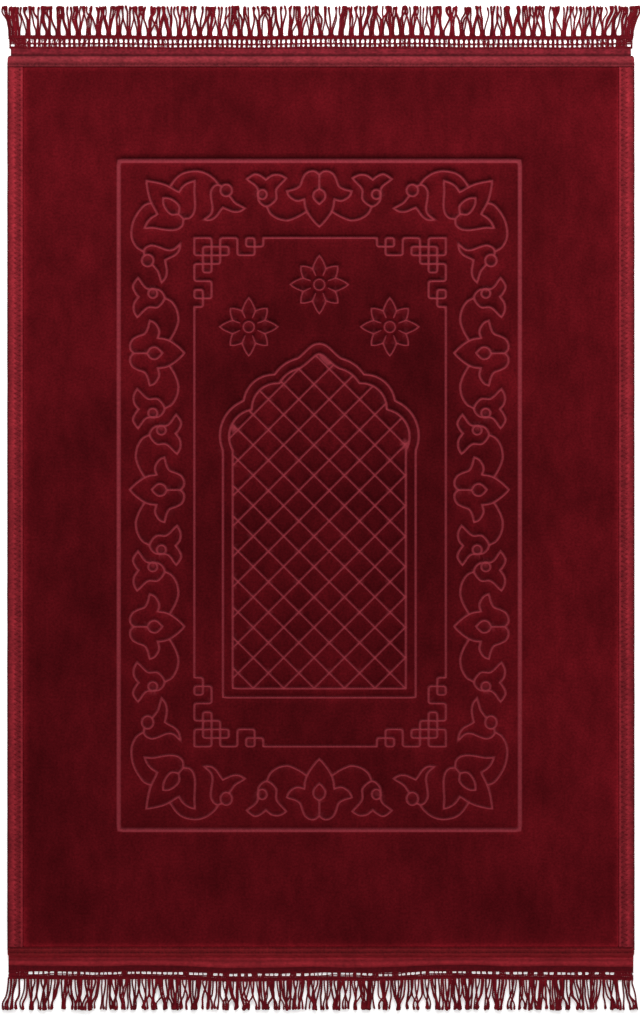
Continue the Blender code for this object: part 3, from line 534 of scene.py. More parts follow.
class Nearness:
    """Measures how far points are from the nearest pressed line."""

    def __init__(self, lines):
        samples = [(spot, line.width / 2) for line in lines
                   for spot in divided(line.points, line.closed, SAMPLE_STEP)]
        self.halves = [half for _, half in samples]
        self.tree = kdtree.KDTree(len(samples))
        for i, ((x, y), _) in enumerate(samples):
            self.tree.insert((x, y, 0), i)
        self.tree.balance()

    def at(self, x, y):
        """The distance, that line's half width, and how far up the rug the point is from the line."""
        spot, i, distance = self.tree.find((x, y, 0))
        return distance, self.halves[i], y - spot.y

    def share(self, x, y):
        """The distance in half widths, with lines that meet flowing into one another, and the pull of all
        lines near the point, which is 1 in the middle of a single one."""
        distance, half, _ = self.at(x, y)
        if distance > PULL_REACH * half:
            return distance / half, 0.0
        pull = 0.0
        for _, i, away in self.tree.find_range((x, y, 0), PULL_REACH * FRAME_LINE / 2):
            near = self.halves[i]
            pull += math.exp(-(away / near / PULL_RUN) ** 2) * SAMPLE_STEP / near
        pull /= PULL_RUN * math.sqrt(math.pi)
        return PULL_RUN * math.sqrt(max(0.0, -math.log(max(pull, 1e-6)))), pull


def line_rows(lines, nearness):
    """Points and edges along every line, in rows beside it. A row stops where it would run into another
    line's groove."""
    verts, edges, shares = [], [], []
    for line in lines:
        for share in LINE_ROWS:
            for row in rims(line._replace(width=line.width * share)):
                first, count = len(verts), len(row)
                verts += [Vector(spot) for spot in row]
                edges += [(first + i, first + (i + 1) % count) for i in range(count)]
                shares += [share] * count
    spots, pieces, _, _, sources, _ = delaunay_2d_cdt(verts, edges, [], 3, SNAP)
    kept = []
    for (a, b), source in zip(pieces, sources):
        middle = (spots[a] + spots[b]) / 2
        distance, half, _ = nearness.at(middle.x, middle.y)
        if distance > ROW_SHARE * half * min(shares[s] for s in source):
            kept.append((a, b))
    index = {spot: i for i, spot in enumerate(sorted({spot for edge in kept for spot in edge}))}
    return [spots[spot] for spot in index], [(index[a], index[b]) for a, b in kept]


def panel_frame():
    """The panel's outline and the lines where its faces step down under the bindings, in short stretches."""
    verts, edges = [], []
    lines = [((x, YS[0]), (x, YS[-1])) for x in XS] + [((XS[0], y), (XS[-1], y)) for y in YS]
    for line in lines:
        route = divided(line, False, GRID_STEP)
        first = len(verts)
        verts += [Vector(spot) for spot in route]
        edges += [(first + i, first + i + 1) for i in range(len(route) - 1)]
    return verts, edges


def grid_spots(nearness):
    """A triangular grid over the flat areas."""
    spots = []
    rows = int((YS[3] - YS[2]) / (GRID_STEP * GRID_ROW))
    columns = int((XS[3] - XS[2]) / GRID_STEP)
    for j in range(1, rows):
        for i in range(1, columns):
            x = XS[2] + (i + 0.5 * (j % 2)) * (XS[3] - XS[2]) / columns
            y = YS[2] + j * (YS[3] - YS[2]) / rows
            distance, half, _ = nearness.at(x, y)
            if distance > LINE_ROWS[-1] * half + GRID_CLEARANCE:
                spots.append(Vector((x, y)))
    return spots


def face_press(x, y):
    """How far a face is pressed in at a point: once under a side binding, once under an end binding."""
    under_side = x < XS[1] + SNAP or x > XS[-2] - SNAP
    under_end = y < YS[1] + SNAP or y > YS[-2] - SNAP
    return PRESSED * (under_side + under_end)


def border_round(spots):
    """The numbers of the points on the panel's outline, in order round it."""
    found = [i for i, p in enumerate(spots)
             if min(p.x - XS[0], XS[-1] - p.x, p.y - YS[0], YS[-1] - p.y) < SNAP]
    return sorted(found, key=lambda i: math.atan2(spots[i].y, spots[i].x))


def nap_and_painted_light_tone(x, y):
    """How light the pile looks over large areas, for the way that it lies and with painted light and shade.
    """
    depth, half_width, half_length = PAINTED_HOLLOW_SHADE
    tone = 1 - depth / (1 + (x / half_width) ** 6 + (y / half_length) ** 6)
    for patch_x, patch_y, wide, long, lighter in PILE_AND_LIGHT_PATCHES:
        tone *= 1 + lighter * math.exp(-((x - patch_x) / wide) ** 2 - ((y - patch_y) / long) ** 2)
    return tone


def velvet(material, backing):
    lines = design()
    nearness = Nearness(lines)
    blurred = Nearness(lines + lines_of([(route, False) for route in BLURS], BLUR_LINE))
    lines = [line._replace(points=divided(line.points, line.closed, LINE_STEP)) for line in lines]
    spots, edges = line_rows(lines, nearness)
    frame_spots, frame_edges = panel_frame()
    first = len(spots)
    spots += frame_spots + grid_spots(nearness)
    edges += [(first + a, first + b) for a, b in frame_edges]
    face, _, triangles, _, _, _ = delaunay_2d_cdt(spots, edges, [], 1, SNAP)
    under, _, under_triangles, _, _, _ = delaunay_2d_cdt(frame_spots, frame_edges, [], 1, SNAP)

    verts, pressed, nap = [], [], []
    for x, y in face:
        distance, half, above = nearness.at(x, y)
        share, pull = blurred.share(x, y)
        binding = max(0.0, min(x - XS[1], XS[-2] - x, y - YS[1], YS[-2] - y))
        beyond = max(0.0, distance - LINE_ROWS[-1] * half)
        sink = PRESS_DEPTH * np.interp(share, *PRESS_PROFILE)
        puff = np.interp(y, *PUFF) * math.exp(-beyond / PUFF_RUN) + ROLL * math.exp(-binding / ROLL_RUN)
        lump = sum(uneven(x, y, lumps) for lumps in LUMPS)
        verts.append((x, y, THICKNESS - face_press(x, y) - sink - puff + lump))
        pressed.append(np.interp(share, *PRESSED_COLOUR) * np.interp(pull, *CROSSED))
        slope = above / distance if distance > SNAP else 0.0
        # Painted shade on the pile above each line, and painted light below it
        painted_line_shading = math.exp(-beyond / PAINTED_SHADE_ABOVE_LINE_RUN) * (np.interp(y, *PAINTED_SHADE_ABOVE_LINE) * max(0.0, slope) + PAINTED_LIGHT_BELOW_LINE * min(0.0, slope))
        brushed_sheen = np.interp(y, *BRUSHED_SHEEN) * math.exp(-binding / BRUSHED_SHEEN_RUN)
        edge = brushed_sheen + EDGE_LIGHT * math.exp(-binding / STEP_RUN)
        nap.append(nap_and_painted_light_tone(x, y) * (1 - painted_line_shading) * (1 + edge))
    below = len(verts)
    verts += [(x, y, face_press(x, y)) for x, y in under]
    faces = list(triangles) + [[below + i for i in reversed(t)] for t in under_triangles]
    upper, lower = border_round(face), border_round(under)
    faces += [(below + lower[k - 1], below + lower[k], upper[k], upper[k - 1]) for k in range(len(upper))]
    mesh = bpy.data.meshes.new("velvet")
    mesh.from_pydata(verts, [], faces)
    give(mesh, "pressed", pressed + [0.0] * len(under))
    # Lie of the pile, with painted light, shade and sheen
    give(mesh, "nap", nap + [1.0] * len(under))
    mesh.materials.append(backing)
    mesh.polygons.foreach_set("material_index", [1] * len(triangles) + [0] * (len(faces) - len(triangles)))
    piece = finished("velvet", mesh, material)
    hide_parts("rug_panel")
    return piece


# ---- Thin round and flat forms ----
HIDDEN_SHADE = -0.5          # painted shade where a form is out of sight, under or inside other parts
PLY_OFFSET, PLY_RADIUS = 0.5, 0.56      # of a ply in a yarn, as shares of the yarn's radius


class Shape:
    """Collects closed forms, in millimetres, with a tone for each vertex, into one mesh on the floor."""

    def __init__(self, seed=""):
        self.chance = random.Random(seed)
        self.verts, self.faces, self.tones = [], [], []

    def add(self, verts, sides, tones):
        """A closed body through rings of this many points, with a flat cap at each end."""
        first, last = len(self.verts), len(self.verts) + len(verts) - sides
        for at in range(first, last, sides):
            self.faces += [(at + i, at + (i + 1) % sides, at + sides + (i + 1) % sides, at + sides + i)
                           for i in range(sides)]
        self.faces += [tuple(range(first, first + sides))[::-1], tuple(range(last, last + sides))]
        self.verts += [(x, y, max(z, 0.0)) for x, y, z in verts]
        self.tones += [float(t) for t in np.broadcast_to(tones, len(verts))]

    def tube(self, route, radii, sides=4, tones=0.0):
        """A closed tube along a route that is never upright."""
        route = np.array(route)
        side, up = axes_along(route)
        turn = 2 * math.pi * (np.arange(sides) + 0.5) / sides
        radii = np.broadcast_to(radii, len(route))[:, None, None]
        verts = route[:, None] + radii * (np.cos(turn)[None, :, None] * side[:, None]
                                          + np.sin(turn)[None, :, None] * up[:, None])
        self.add(verts.reshape(-1, 3), sides, np.repeat(np.broadcast_to(tones, len(route)), sides))

    def yarn(self, route, radii, pitch, step, plies=2, tones=0.0, shade=0.25):
        """Thin plies twisted round each other along a route, each with a painted shade where it runs below
        the others.
        """
        route, along = evenly(route, step)
        radii = np.interp(np.linspace(0, 1, len(route)), np.linspace(0, 1, len(radii)), radii)
        side, up = axes_along(route)
        start = self.chance.uniform(0, 2 * math.pi)
        for k in range(plies):
            turn = 2 * math.pi * (along / pitch + k / plies) + start
            offset = PLY_OFFSET * radii[:, None] * (np.cos(turn)[:, None] * side + np.sin(turn)[:, None] * up)
            self.tube(route + offset, PLY_RADIUS * radii, tones=tones + shade * (np.sin(turn) - 0.5))

    def piece(self, name, material, slot, *nodes):
        mesh = bpy.data.meshes.new(name)
        mesh.from_pydata(self.verts, [], self.faces)
        give(mesh, "tone", self.tones)
        piece = finished(name, mesh, material)
        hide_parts(*nodes)
        return piece


def lofted(name, material, slot, sections, *nodes):
    """A piece with one body through sections, which are rows of (x, y, z, tone)."""
    rows = np.concatenate(sections)
    shape = Shape()
    shape.add(rows[:, :3], len(sections[0]), rows[:, 3])
    return shape.piece(name, material, slot, *nodes)


def evenly(route, step):
    """The same route with points this far apart, and how far along it each one is."""
    route = np.array(route)
    gone = np.concatenate([[0.0], np.cumsum(np.linalg.norm(np.diff(route, axis=0), axis=1))])
    along = np.linspace(0.0, gone[-1], max(2, round(gone[-1] / step) + 1))
    return np.stack([np.interp(along, gone, route[:, k]) for k in range(3)], axis=1), along


def axes_along(route):
    """Directions to the side of a route and up from it, at each of its points."""
    ways = np.gradient(route, axis=0)
    side = np.cross(ways, (0.0, 0.0, 1.0))
    side /= np.linalg.norm(side, axis=1)[:, None]
    up = np.cross(side, ways)
    up /= np.linalg.norm(up, axis=1)[:, None]
    return side, up


def steps_between(start, stop, step):
    return np.linspace(start, stop, max(2, round(abs(stop - start) / step) + 1))


# ---- The side bindings ----
STATION = 1.6               # between sections of a side binding, a quarter of its zigzag's pitch
SIDE_TOP = (                # in from the outer edge, up from the flat face, tone: painted light and shade, dark where it rolls down at the edge and in the groove, light on the ridges
    (0.0, -2.6, -0.9), (0.2, -1.5, -0.9), (0.8, -0.6, -0.85), (1.6, -0.12, -0.62), (2.4, 0.04, -0.32),
    (3.6, 0.12, -0.18), (5.0, 0.14, 0.02), (6.4, 0.1, 0.16), (7.6, 0.04, 0.34), (8.6, -0.04, 0.44),
    (9.3, -0.12, 0.38), (10.3, -0.1, 0.15), (11.4, -0.06, -0.06), (12.5, -0.08, -0.24),
    (13.6, -0.1, -0.3), (14.7, -0.14, -0.3), (15.7, -0.2, -0.25), (16.3, -0.25, -0.15),
    (16.9, -0.1, 0.05), (17.6, 0.12, 0.18), (18.3, 0.1, 0.12), (19.0, -0.02, 0.0), (19.35, -0.2, 0.0),
    (19.5, -0.4, 0.0),
)
EDGE_ROWS = 5               # of these also round the lower half of the edge
SIDE_UNDER = (              # in from the outer edge, up from the floor
    (19.5, 0.0), (19.5, 1.0), (1.0, 1.0), (1.0, 5.0), (19.5, 5.0),
)
# Where its ends are pressed in, under the end bindings
SIDE_RAMPS = (-BOTTOM.velvet_edge + GAP, -BOTTOM.velvet_edge + GAP + STEP_RUN,
              TOP.velvet_edge - GAP - STEP_RUN, TOP.velvet_edge - GAP)
ZIGZAG = (9.3, 15.7)        # its corners, in from the outer edge
ZIGZAG_PITCH = 6.4
THREAD = 0.3                # radius of the sewing thread
SEAM_FACE = THICKNESS - 0.1
STITCH_LEGS = ((0.8, 0.2), (0.2, 0.8))      # where a stitch lies on the tape, as shares of its corners
STITCH_SINK, STITCH_RISE, STITCH_SLACK = 0.35, 0.22, 0.25
NEEDLE_HOLE = (0.55, 0.9)   # depth and radius of the dent at each corner
EDGE_WANDER = (0.25, 45.0)  # unevenness of the folded edge: height and size
SIDE_LUMPS = (0.1, 9.0)     # unevenness of its face: height and size
SIDE_SHOULDER = 1.5         # where the face starts, in from the outer edge
EDGE_RUN = 8.0              # how far in the edge's wander reaches
HOLE_SHADE = 1.1             # painted shade: how much darker a needle hole is
# Painted shade on the tape where it runs back underneath
SIDE_HIDDEN_SHADE = -0.3
EDGE_OUT = 0.4              # how far the folded edge bulges past the flat tape


def zigzag_corner(k, y_start):
    """Where stitch corner k is: in from the outer edge, and along the rug."""
    return ZIGZAG[k % 2], y_start + k * ZIGZAG_PITCH / 2


def side_section(y, side, y_start):
    """One section of the folded tape: over the top, round the edge and back under."""
    press = float(np.interp(y, SIDE_RAMPS, (PRESSED, 0.0, 0.0, PRESSED)))
    corner_in, corner_y = zigzag_corner(round((y - y_start) / (ZIGZAG_PITCH / 2)), y_start)
    depth, radius = NEEDLE_HOLE
    inset = uneven(0, y, EDGE_WANDER, side) - EDGE_OUT
    rows = []
    for t, rise, tone in reversed(SIDE_TOP):
        hole = math.exp(-((t - corner_in) ** 2 + (y - corner_y) ** 2) / radius ** 2)
        lump = uneven(t, y, SIDE_LUMPS, side) * (t > SIDE_SHOULDER)
        pulled = inset * max(0.0, 1 - t / EDGE_RUN)
        rows.append((side * (HALF_WIDTH - t - pulled), y, THICKNESS - press + rise + lump - depth * hole,
                     tone - HOLE_SHADE * hole))
    rows += [(side * (HALF_WIDTH - t - inset), y, press - min(0.0, rise), tone)
             for t, rise, tone in SIDE_TOP[:EDGE_ROWS]]
    rows += [(side * (HALF_WIDTH - t), y, z + press if z < THICKNESS / 2 else z - press, SIDE_HIDDEN_SHADE)
             for t, z in SIDE_UNDER]
    return rows


def side_binding(name, side, material):
    start, stop = (corner.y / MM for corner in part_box(name))
    stations = sorted([*np.arange(start, stop - 0.1, STATION), *SIDE_RAMPS, stop])
    sections = [side_section(y, side, start) for y in stations]
    return lofted(name + "_tape", material, "side_tape", sections, name)


def zigzag(name, side, material):
    """The zigzag seam that holds a side binding."""
    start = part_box(name)[0].y / MM
    first = math.ceil((-BOTTOM.velvet_edge + 2 - start) / (ZIGZAG_PITCH / 2))
    last = math.floor((TOP.velvet_edge - 2 - start) / (ZIGZAG_PITCH / 2))
    shape = Shape(f"zigzag {side}")
    route = []
    for k in range(first, last):
        (t, y), (next_t, next_y) = zigzag_corner(k, start), zigzag_corner(k + 1, start)
        slack = shape.chance.uniform(-STITCH_SLACK, STITCH_SLACK)
        route.append((side * (HALF_WIDTH - t), y, SEAM_FACE - STITCH_SINK))
        route += [(side * (HALF_WIDTH - near * t - far * next_t), near * y + far * next_y + slack,
                   SEAM_FACE + STITCH_RISE) for near, far in STITCH_LEGS]
    shape.tube(route, THREAD, tones=0.1)
    return shape.piece(name + "_seam", material, "side_tape")


# ---- The end bindings ----
TOP_HEM = (                 # out from the velvet, height, tone: painted light and shade round the roll, dark where it turns down
    (0.0, 5.2, -0.9), (0.05, 5.75, -0.6), (0.5, 6.0, -0.5), (1.1, 6.05, -0.4), (1.8, 6.0, -0.3),
    (2.6, 5.85, -0.35), (3.2, 5.65, -0.45), (3.8, 5.75, -0.4), (4.6, 6.05, -0.25), (5.6, 6.35, -0.12),
    (6.8, 6.55, 0.08), (8.2, 6.6, 0.22), (9.8, 6.6, 0.25), (11.2, 6.4, 0.15), (12.4, 5.95, -0.05),
    (13.3, 5.3, -0.35), (14.0, 4.4, -0.75), (14.4, 3.4, -0.9), (14.5, 2.4, -0.95), (14.2, 1.5, -0.95),
)
# Its tone is painted light, most on the outer wall, which faces away from the key light
BOTTOM_HEM = (
    (0.0, 5.0, -0.3), (0.05, 5.55, -0.3), (0.5, 5.8, -0.25), (0.9, 5.65, -0.3), (1.3, 5.7, -0.3),
    (1.9, 6.0, -0.22), (2.7, 6.15, -0.15), (3.3, 6.2, -0.15), (3.9, 6.1, -0.2), (4.8, 6.0, -0.3),
    (5.9, 5.9, -0.35), (6.5, 5.75, -0.4), (7.1, 5.75, -0.32), (7.7, 6.0, -0.2), (8.8, 6.2, -0.12),
    (9.7, 6.1, 0.05), (10.3, 5.8, 0.5), (10.8, 5.3, 1.1), (11.25, 4.5, 1.7), (11.5, 3.8, 1.8),
    (11.4, 2.4, 1.6), (11.1, 1.5, 1.0),
)
LIP = 6.0                   # the part of an end binding that covers the fringe trim
POCKET_WALL = 2.0           # between the panel's end and that lip
CORNER_ROUND = 3.0          # rounding of an end binding's outer corners
CORNER_SINK = 0.3           # how far the crown sinks for each millimetre of that rounding
HEM_LUMPS = (0.12, 14.0)    # unevenness of its face: height and size
HEM_FACE, HEM_SHOULDER = 5.3, 3.0      # its face and its rounding lie above these heights
HEM_WANDER = {"top": (0.18, 55.0), "bottom": (0.4, 70.0)}     # of its lines, in and out: height and size
HEM_SEAMS = {"top": (3.1,), "bottom": (1.1, 6.8)}
STITCH_PITCH = 4.4
STITCH_GAP = 1.2
STITCH_DENT = (0.35, 0.8)   # depth and radius where the needle went in
DENT_SHADE = 0.5             # painted shade: how much darker it is there
STITCH = ((0, -0.15), (0.18, 0.22), (0.5, 0.3), (0.82, 0.22), (1, -0.15))      # along it, and up


def hem_width(end):
    return end.hem_edge - end.velvet_edge


def hem_under(end):
    """The hidden side of a hem's section: its lip, its foot and the fold inside."""
    lip = hem_width(end) - LIP
    pocket = hem_width(end) - LIP - POCKET_WALL
    return ((lip, 1.5), (lip, 0.0), (0.0, 0.0), (0.0, TAPE), (pocket, TAPE), (pocket, THICKNESS - TAPE),
            (0.0, THICKNESS - TAPE))


def hem_shift(x, u, end):
    """How far a hem's lines wander at a place along it, the most in its middle."""
    width = hem_width(end)
    shift = uneven(x, 3 * u, HEM_WANDER[end.name], end.side)
    return shift * (0.3 + 3 * u * (width - u) / width ** 2)


def hem_section(x, end, profile):
    inside = min(HALF_WIDTH - abs(x), CORNER_ROUND) / CORNER_ROUND
    taper = CORNER_ROUND * (1 - math.sqrt(1 - (1 - inside) ** 2))
    to_stitch = STITCH_PITCH * (x / STITCH_PITCH - round(x / STITCH_PITCH))
    rows = []
    for u, z, tone in profile:
        near = min(abs(u - seam) for seam in HEM_SEAMS[end.name])
        dent = math.exp(-(near ** 2 + to_stitch ** 2) / STITCH_DENT[1] ** 2)
        lump = uneven(x, 2 * u, HEM_LUMPS, end.side) * (z > HEM_FACE)
        out = end.velvet_edge + u + hem_shift(x, u, end) - taper * u / hem_width(end)
        top = z + lump - STITCH_DENT[0] * dent - CORNER_SINK * taper * (z > HEM_SHOULDER)
        rows.append((x, end.side * out, top, tone - DENT_SHADE * dent))
    return rows + [(x, end.side * (end.velvet_edge + u), z, HIDDEN_SHADE) for u, z in hem_under(end)]


def end_binding(end, profile, material):
    corner = [CORNER_ROUND * (1 - math.cos(a)) for a in np.linspace(0, math.pi / 2, 5)]
    flat = steps_between(-HALF_WIDTH + CORNER_ROUND, HALF_WIDTH - CORNER_ROUND, STITCH_PITCH / 4)
    stations = [*(-HALF_WIDTH + c for c in corner), *flat[1:-1], *(HALF_WIDTH - c for c in reversed(corner))]
    sections = [hem_section(x, end, profile) for x in stations]
    return lofted(f"hem_{end.name}", material, "hem_tape", sections, f"end_binding_{end.name}")


def hem_seams(end, profile, material):
    """The run stitches along a hem's grooves."""
    shape = Shape()
    places, heights, _ = zip(*profile[:-3])
    count = int((HALF_WIDTH - 4) / STITCH_PITCH)
    for seam in HEM_SEAMS[end.name]:
        groove = float(np.interp(seam, places, heights))
        for k in range(-count, count):
            start = k * STITCH_PITCH + STITCH_GAP / 2
            xs = [start + share * (STITCH_PITCH - STITCH_GAP) for share, _ in STITCH]
            shape.tube([(x, end.side * (end.velvet_edge + seam + hem_shift(x, seam, end)), groove + rise)
                        for x, (_, rise) in zip(xs, STITCH)], THREAD, tones=-0.25)
    return shape.piece(f"hem_{end.name}_seams", material, "hem_tape")


# ---- Where the fringe hangs, as in the part ----
def hem_wave(x, end):
    """How far the loose edge of the trim wanders in or out along its length."""
    return sum(height * math.sin(2 * math.pi * x / length + phase) for height, length, phase in end.waves)


def bundles():
    """The root of each lock and the middle of the bundle that it belongs to, from left to right."""
    half_row = (BUNDLES - 1) / 2 * BUNDLE_PITCH
    found = []
    for i in range(BUNDLES):
        centre = i * BUNDLE_PITCH - half_row
        found += [(centre - LOCK_SPREAD / 2, centre), (centre + LOCK_SPREAD / 2, centre)]
    last = CORD_HALF_WIDTH - LOCK_WIDTHS[0] / 2
    for i in range(CORNER_LOCKS):
        x = last - i * CORNER_PITCH
        found += [(x, x), (-x, -x)]
    return sorted(found)


def spaced(places, width, most):
    """The places moved just enough to stand clear of each other and reach no further than most."""
    step = width + LOCK_CLEARANCE
    for i in range(1, len(places)):
        places[i] = max(places[i], places[i - 1] + step)
    places[-1] = min(places[-1], most)
    for i in range(len(places) - 2, 0, -1):
        places[i] = min(places[i], places[i + 1] - step)
    places[0] = -most
    return places


def locks(end):
    """The root, middle and tip of each lock along the hem, and how far out its tip is."""
    chance = random.Random(f"fringe {end.name}")
    roots = [root for root, _ in bundles()]
    middles, tips, reaches = [], [], []
    for k, x in enumerate(roots):
        lean = CORNER_FLARE * (x / CORD_HALF_WIDTH) ** LEAN_POWER
        way = 1 if k % 2 else -1
        middles.append(x + way * LOCK_FAN[0] + lean / 2 + chance.uniform(-LOCK_STRAY[0], LOCK_STRAY[0]))
        tips.append(x + way * LOCK_FAN[1] + lean + chance.uniform(-LOCK_STRAY[1], LOCK_STRAY[1]))
        short = LOCK_SHORTFALL * chance.random() ** 2
        reaches.append(FRINGE_TIPS - (short if 0 < k < len(roots) - 1 else 0.0))
    last = CORD_HALF_WIDTH - LOCK_WIDTHS[0] / 2
    middles = spaced(middles, LOCK_WIDTHS[1], last + CORNER_FLARE / 2)
    tips = spaced(tips, LOCK_WIDTHS[2], last + CORNER_FLARE)
    return list(zip(roots, middles, tips, reaches))


# ---- The fringe trims: tape, ladder and header ----
TAPE_STEP = 3.0
TAPE_HEIGHT = 1.15
TAPE_SINK = 0.7             # how far its ribs and folds may go below that height
TAPE_DRIFT = 2.5            # how much further the free edge drifts than the tape's folds are high
DRIFT_RUN = 18.0            # where along the tape's width that drift is whole
# Painted light on the crests of the tape's folds and painted shade in their hollows
FOLD_LIGHT_AND_SHADE = 0.35
TOP_TAPE = (                # out from the rug's middle, above the flat tape, tone: painted light and shade across the tape, dark under the hem
    (571.8, 0.0, -0.9), (576.5, 0.0, -0.9), (578.3, -0.1, -0.75), (579.3, 0.0, -0.4),
    (580.4, 0.1, -0.1), (581.6, 0.05, 0.05), (582.4, -0.1, -0.02), (583.2, 0.05, 0.05),
    (584.6, 0.12, 0.0), (586.0, 0.08, -0.12), (587.2, -0.05, -0.25), (588.0, -0.35, -0.4),
)
# Its tone is painted light where the hem's wall would shade it
BOTTOM_TAPE = (
    (566.8, 0.0, 0.4), (571.8, 0.3, 1.5), (572.9, 1.0, 1.3), (573.9, 1.5, 0.8), (575.2, 1.6, 0.35),
    (576.6, 1.2, 0.0), (577.8, 0.75, -0.2), (578.8, 0.7, -0.3), (580.0, 1.0, -0.15), (581.2, 1.35, 0.0),
    (582.4, 1.4, 0.05), (583.6, 1.2, 0.1), (584.6, 0.9, 0.05), (585.4, 0.5, -0.1), (586.0, 0.1, -0.35),
    (586.5, -0.6, -0.7), (591.9, -0.7, -0.9),
)
TAPE_FOLDS = {"top": (0.05, 60.0), "bottom": (0.55, 65.0)}    # height and size
TAPE_REACH = {"top": TRIM_HALF_WIDTH, "bottom": CORD_HALF_WIDTH}
THREAD_TWIST, THREAD_STEP = 5.4, 1.6    # a full turn of a thread's plies, and between its rings of points
CORD_TWIST, CORD_STEP = 5.0, 1.35
CORD_KNOT = 9.0             # between the places that a cord wanders through
CORE_SWELL, CORE_STEP = 1.15, 3.0       # a plain core is a little thicker than a twisted cord
Thread = namedtuple("Thread", "radius sway flare")      # the flare thickens its two ends
INNER_PAIR, OUTER_PAIR = Thread(1.3, 0.3, 1.3), Thread(1.35, 0.35, 1.5)
INNER_STRAY, OUTER_STRAY = Thread(0.7, 0.6, 1), Thread(0.85, 1.4, 1)
CORNER_THREAD, CORNER_LIFT = Thread(1.0, 0.1, 1), 0.25
CHANNEL_THREAD, OPENING_THREAD = Thread(0.62, 0.5, 1), Thread(1.0, 0.3, 1.4)
TAPE_UP, ROW_UP = 0.8, 0.9  # height of the threads at the tape, and further out
CROSS_IN = 0.2              # from the cord across the top trim's openings to their inner end
PAIR_WANDER, PAIR_HALF = 0.5, 0.8       # of the two threads between two openings
CROWD = 50.0                # the openings this near to a corner are crowded with stray threads
INNER_STRAYS, OUTER_STRAYS = (0, 0, 0, 1, 1, 2), (0, 0, 0, 1)   # how many there may be at an opening
CROWDED_STRAYS = (1, 1, 2, 2)
CHANNEL_PITCH = 1.5         # between the threads across the bottom trim's dark channel
# Painted shade on the threads across the dark channel
CHANNEL_SHADES = (-0.6, -0.1)
CHANNEL_STEP = 1.1          # between the plain cords under them
OPENING = (4.6, 6.8)        # from the thread before an opening to the one after
CLOSED = (0, 0, 0, 1, 1, 3, 6)          # how many threads may lie close together after an opening
CLOSE_STEP = 1.15           # between threads that lie close together
ROW_DRIFT, ROW_SIZE, ROW_SEED = 2.0, 60.0, 9.0       # how the row of openings wanders
BRAID_PITCH, BRAID_RADIUS = 2.1, 0.85    # of the header's slanted loops
BRAID_ROWS = ((-1.25, 1), (1.25, -1))   # out from the header's middle, and which way the loops slant
BRAID_WANDER = 0.12
BRAID_REACH, BRAID_LEAN = (1.25, 1.5), (0.9, 1.3)       # how far a loop reaches out and along
BRAID_LOW, BRAID_HIGH = 0.9, 1.5        # height of its ends and its middle
BRAID_SHAPE = (0.55, 1, 1.05, 1, 0.55)  # its radius along its length
HEADER_CORES = (-1.3, 0, 1.3)
HEADER_SHIFT = {"top": -0.3, "bottom": 1.3}       # how much further out it lies than the solid's cord


def trim_tape(end, profile, material):
    """The trim's woven tape, with its lengthwise ribs and folds and painted light and shade on them."""
    height, size = TAPE_FOLDS[end.name]
    reach = TAPE_REACH[end.name]
    sections = []
    for x in steps_between(-reach, reach, TAPE_STEP):
        rows = []
        for out, rise, tone in profile:
            free = float(np.interp(out, (profile[1][0], profile[3][0]), (0, 1)))
            drift = uneven(x, 0, (TAPE_DRIFT * height, size), 4 + end.side)
            drift += hem_wave(x, end) * (end is BOTTOM)
            fold = uneven(x, 4 * out, (height, size), end.side)
            rows.append((x, end.side * (out + free * drift * (out - profile[0][0]) / DRIFT_RUN),
                         TAPE_HEIGHT + max(-TAPE_SINK, rise + free * fold), tone + FOLD_LIGHT_AND_SHADE * fold))
        rows += [(x, end.side * out, 0.0, HIDDEN_SHADE) for out, _, _ in (profile[-1], profile[0])]
        sections.append(rows)
    return lofted(f"fringe_{end.name}_tape", material, "hem_tape", sections)


class Trim(Shape):
    """The threads and cords of one fringe trim, placed by how far out from the rug's middle they are."""

    def __init__(self, end, purpose):
        super().__init__(f"{purpose} {end.name}")
        self.end = end

    def thread(self, x, start, stop, look, lift=0.0, tones=-0.1):
        """A short twisted yarn at x between two places (out, up), which may be thicker at its two ends."""
        points = [(x + self.chance.uniform(-look.sway, look.sway),
                   self.end.side * (start[0] + share * (stop[0] - start[0])),
                   start[1] + share * (stop[1] - start[1]) + lift * math.sin(math.pi * share))
                  for share in (0, 0.35, 0.7, 1)]
        radii = look.radius * np.array((look.flare, 1, 1, look.flare))
        self.yarn(curve(points, 3), radii, THREAD_TWIST, THREAD_STEP, tones=tones)

    def route(self, out, z, wander, half_width, drift):
        """A route along the hem."""
        points = []
        for x in steps_between(-half_width, half_width, CORD_KNOT):
            drifted = out + hem_wave(x, self.end) + uneven(x, 0.0, (drift, ROW_SIZE), ROW_SEED)
            points.append((x, self.end.side * (drifted + self.chance.uniform(-wander, wander)),
                           z + self.chance.uniform(-0.05, 0.05)))
        return curve(points, 6)

    def cord(self, out, z, radius, wander, half_width=CORD_HALF_WIDTH, drift=0.0):
        """A twisted cord along the hem."""
        route = self.route(out, z, wander, half_width, drift)
        self.yarn(route, (radius, radius), CORD_TWIST, CORD_STEP, tones=-0.1)

    def core(self, out, z, radius, wander, tones):
        """A plain cord along the hem, for the dark ground under other threads, where its dark tone is a
        painted shade.
        """
        route, _ = evenly(self.route(out, z, wander, CORD_HALF_WIDTH, 0.0), CORE_STEP)
        self.tube(route, CORE_SWELL * radius, tones=tones)


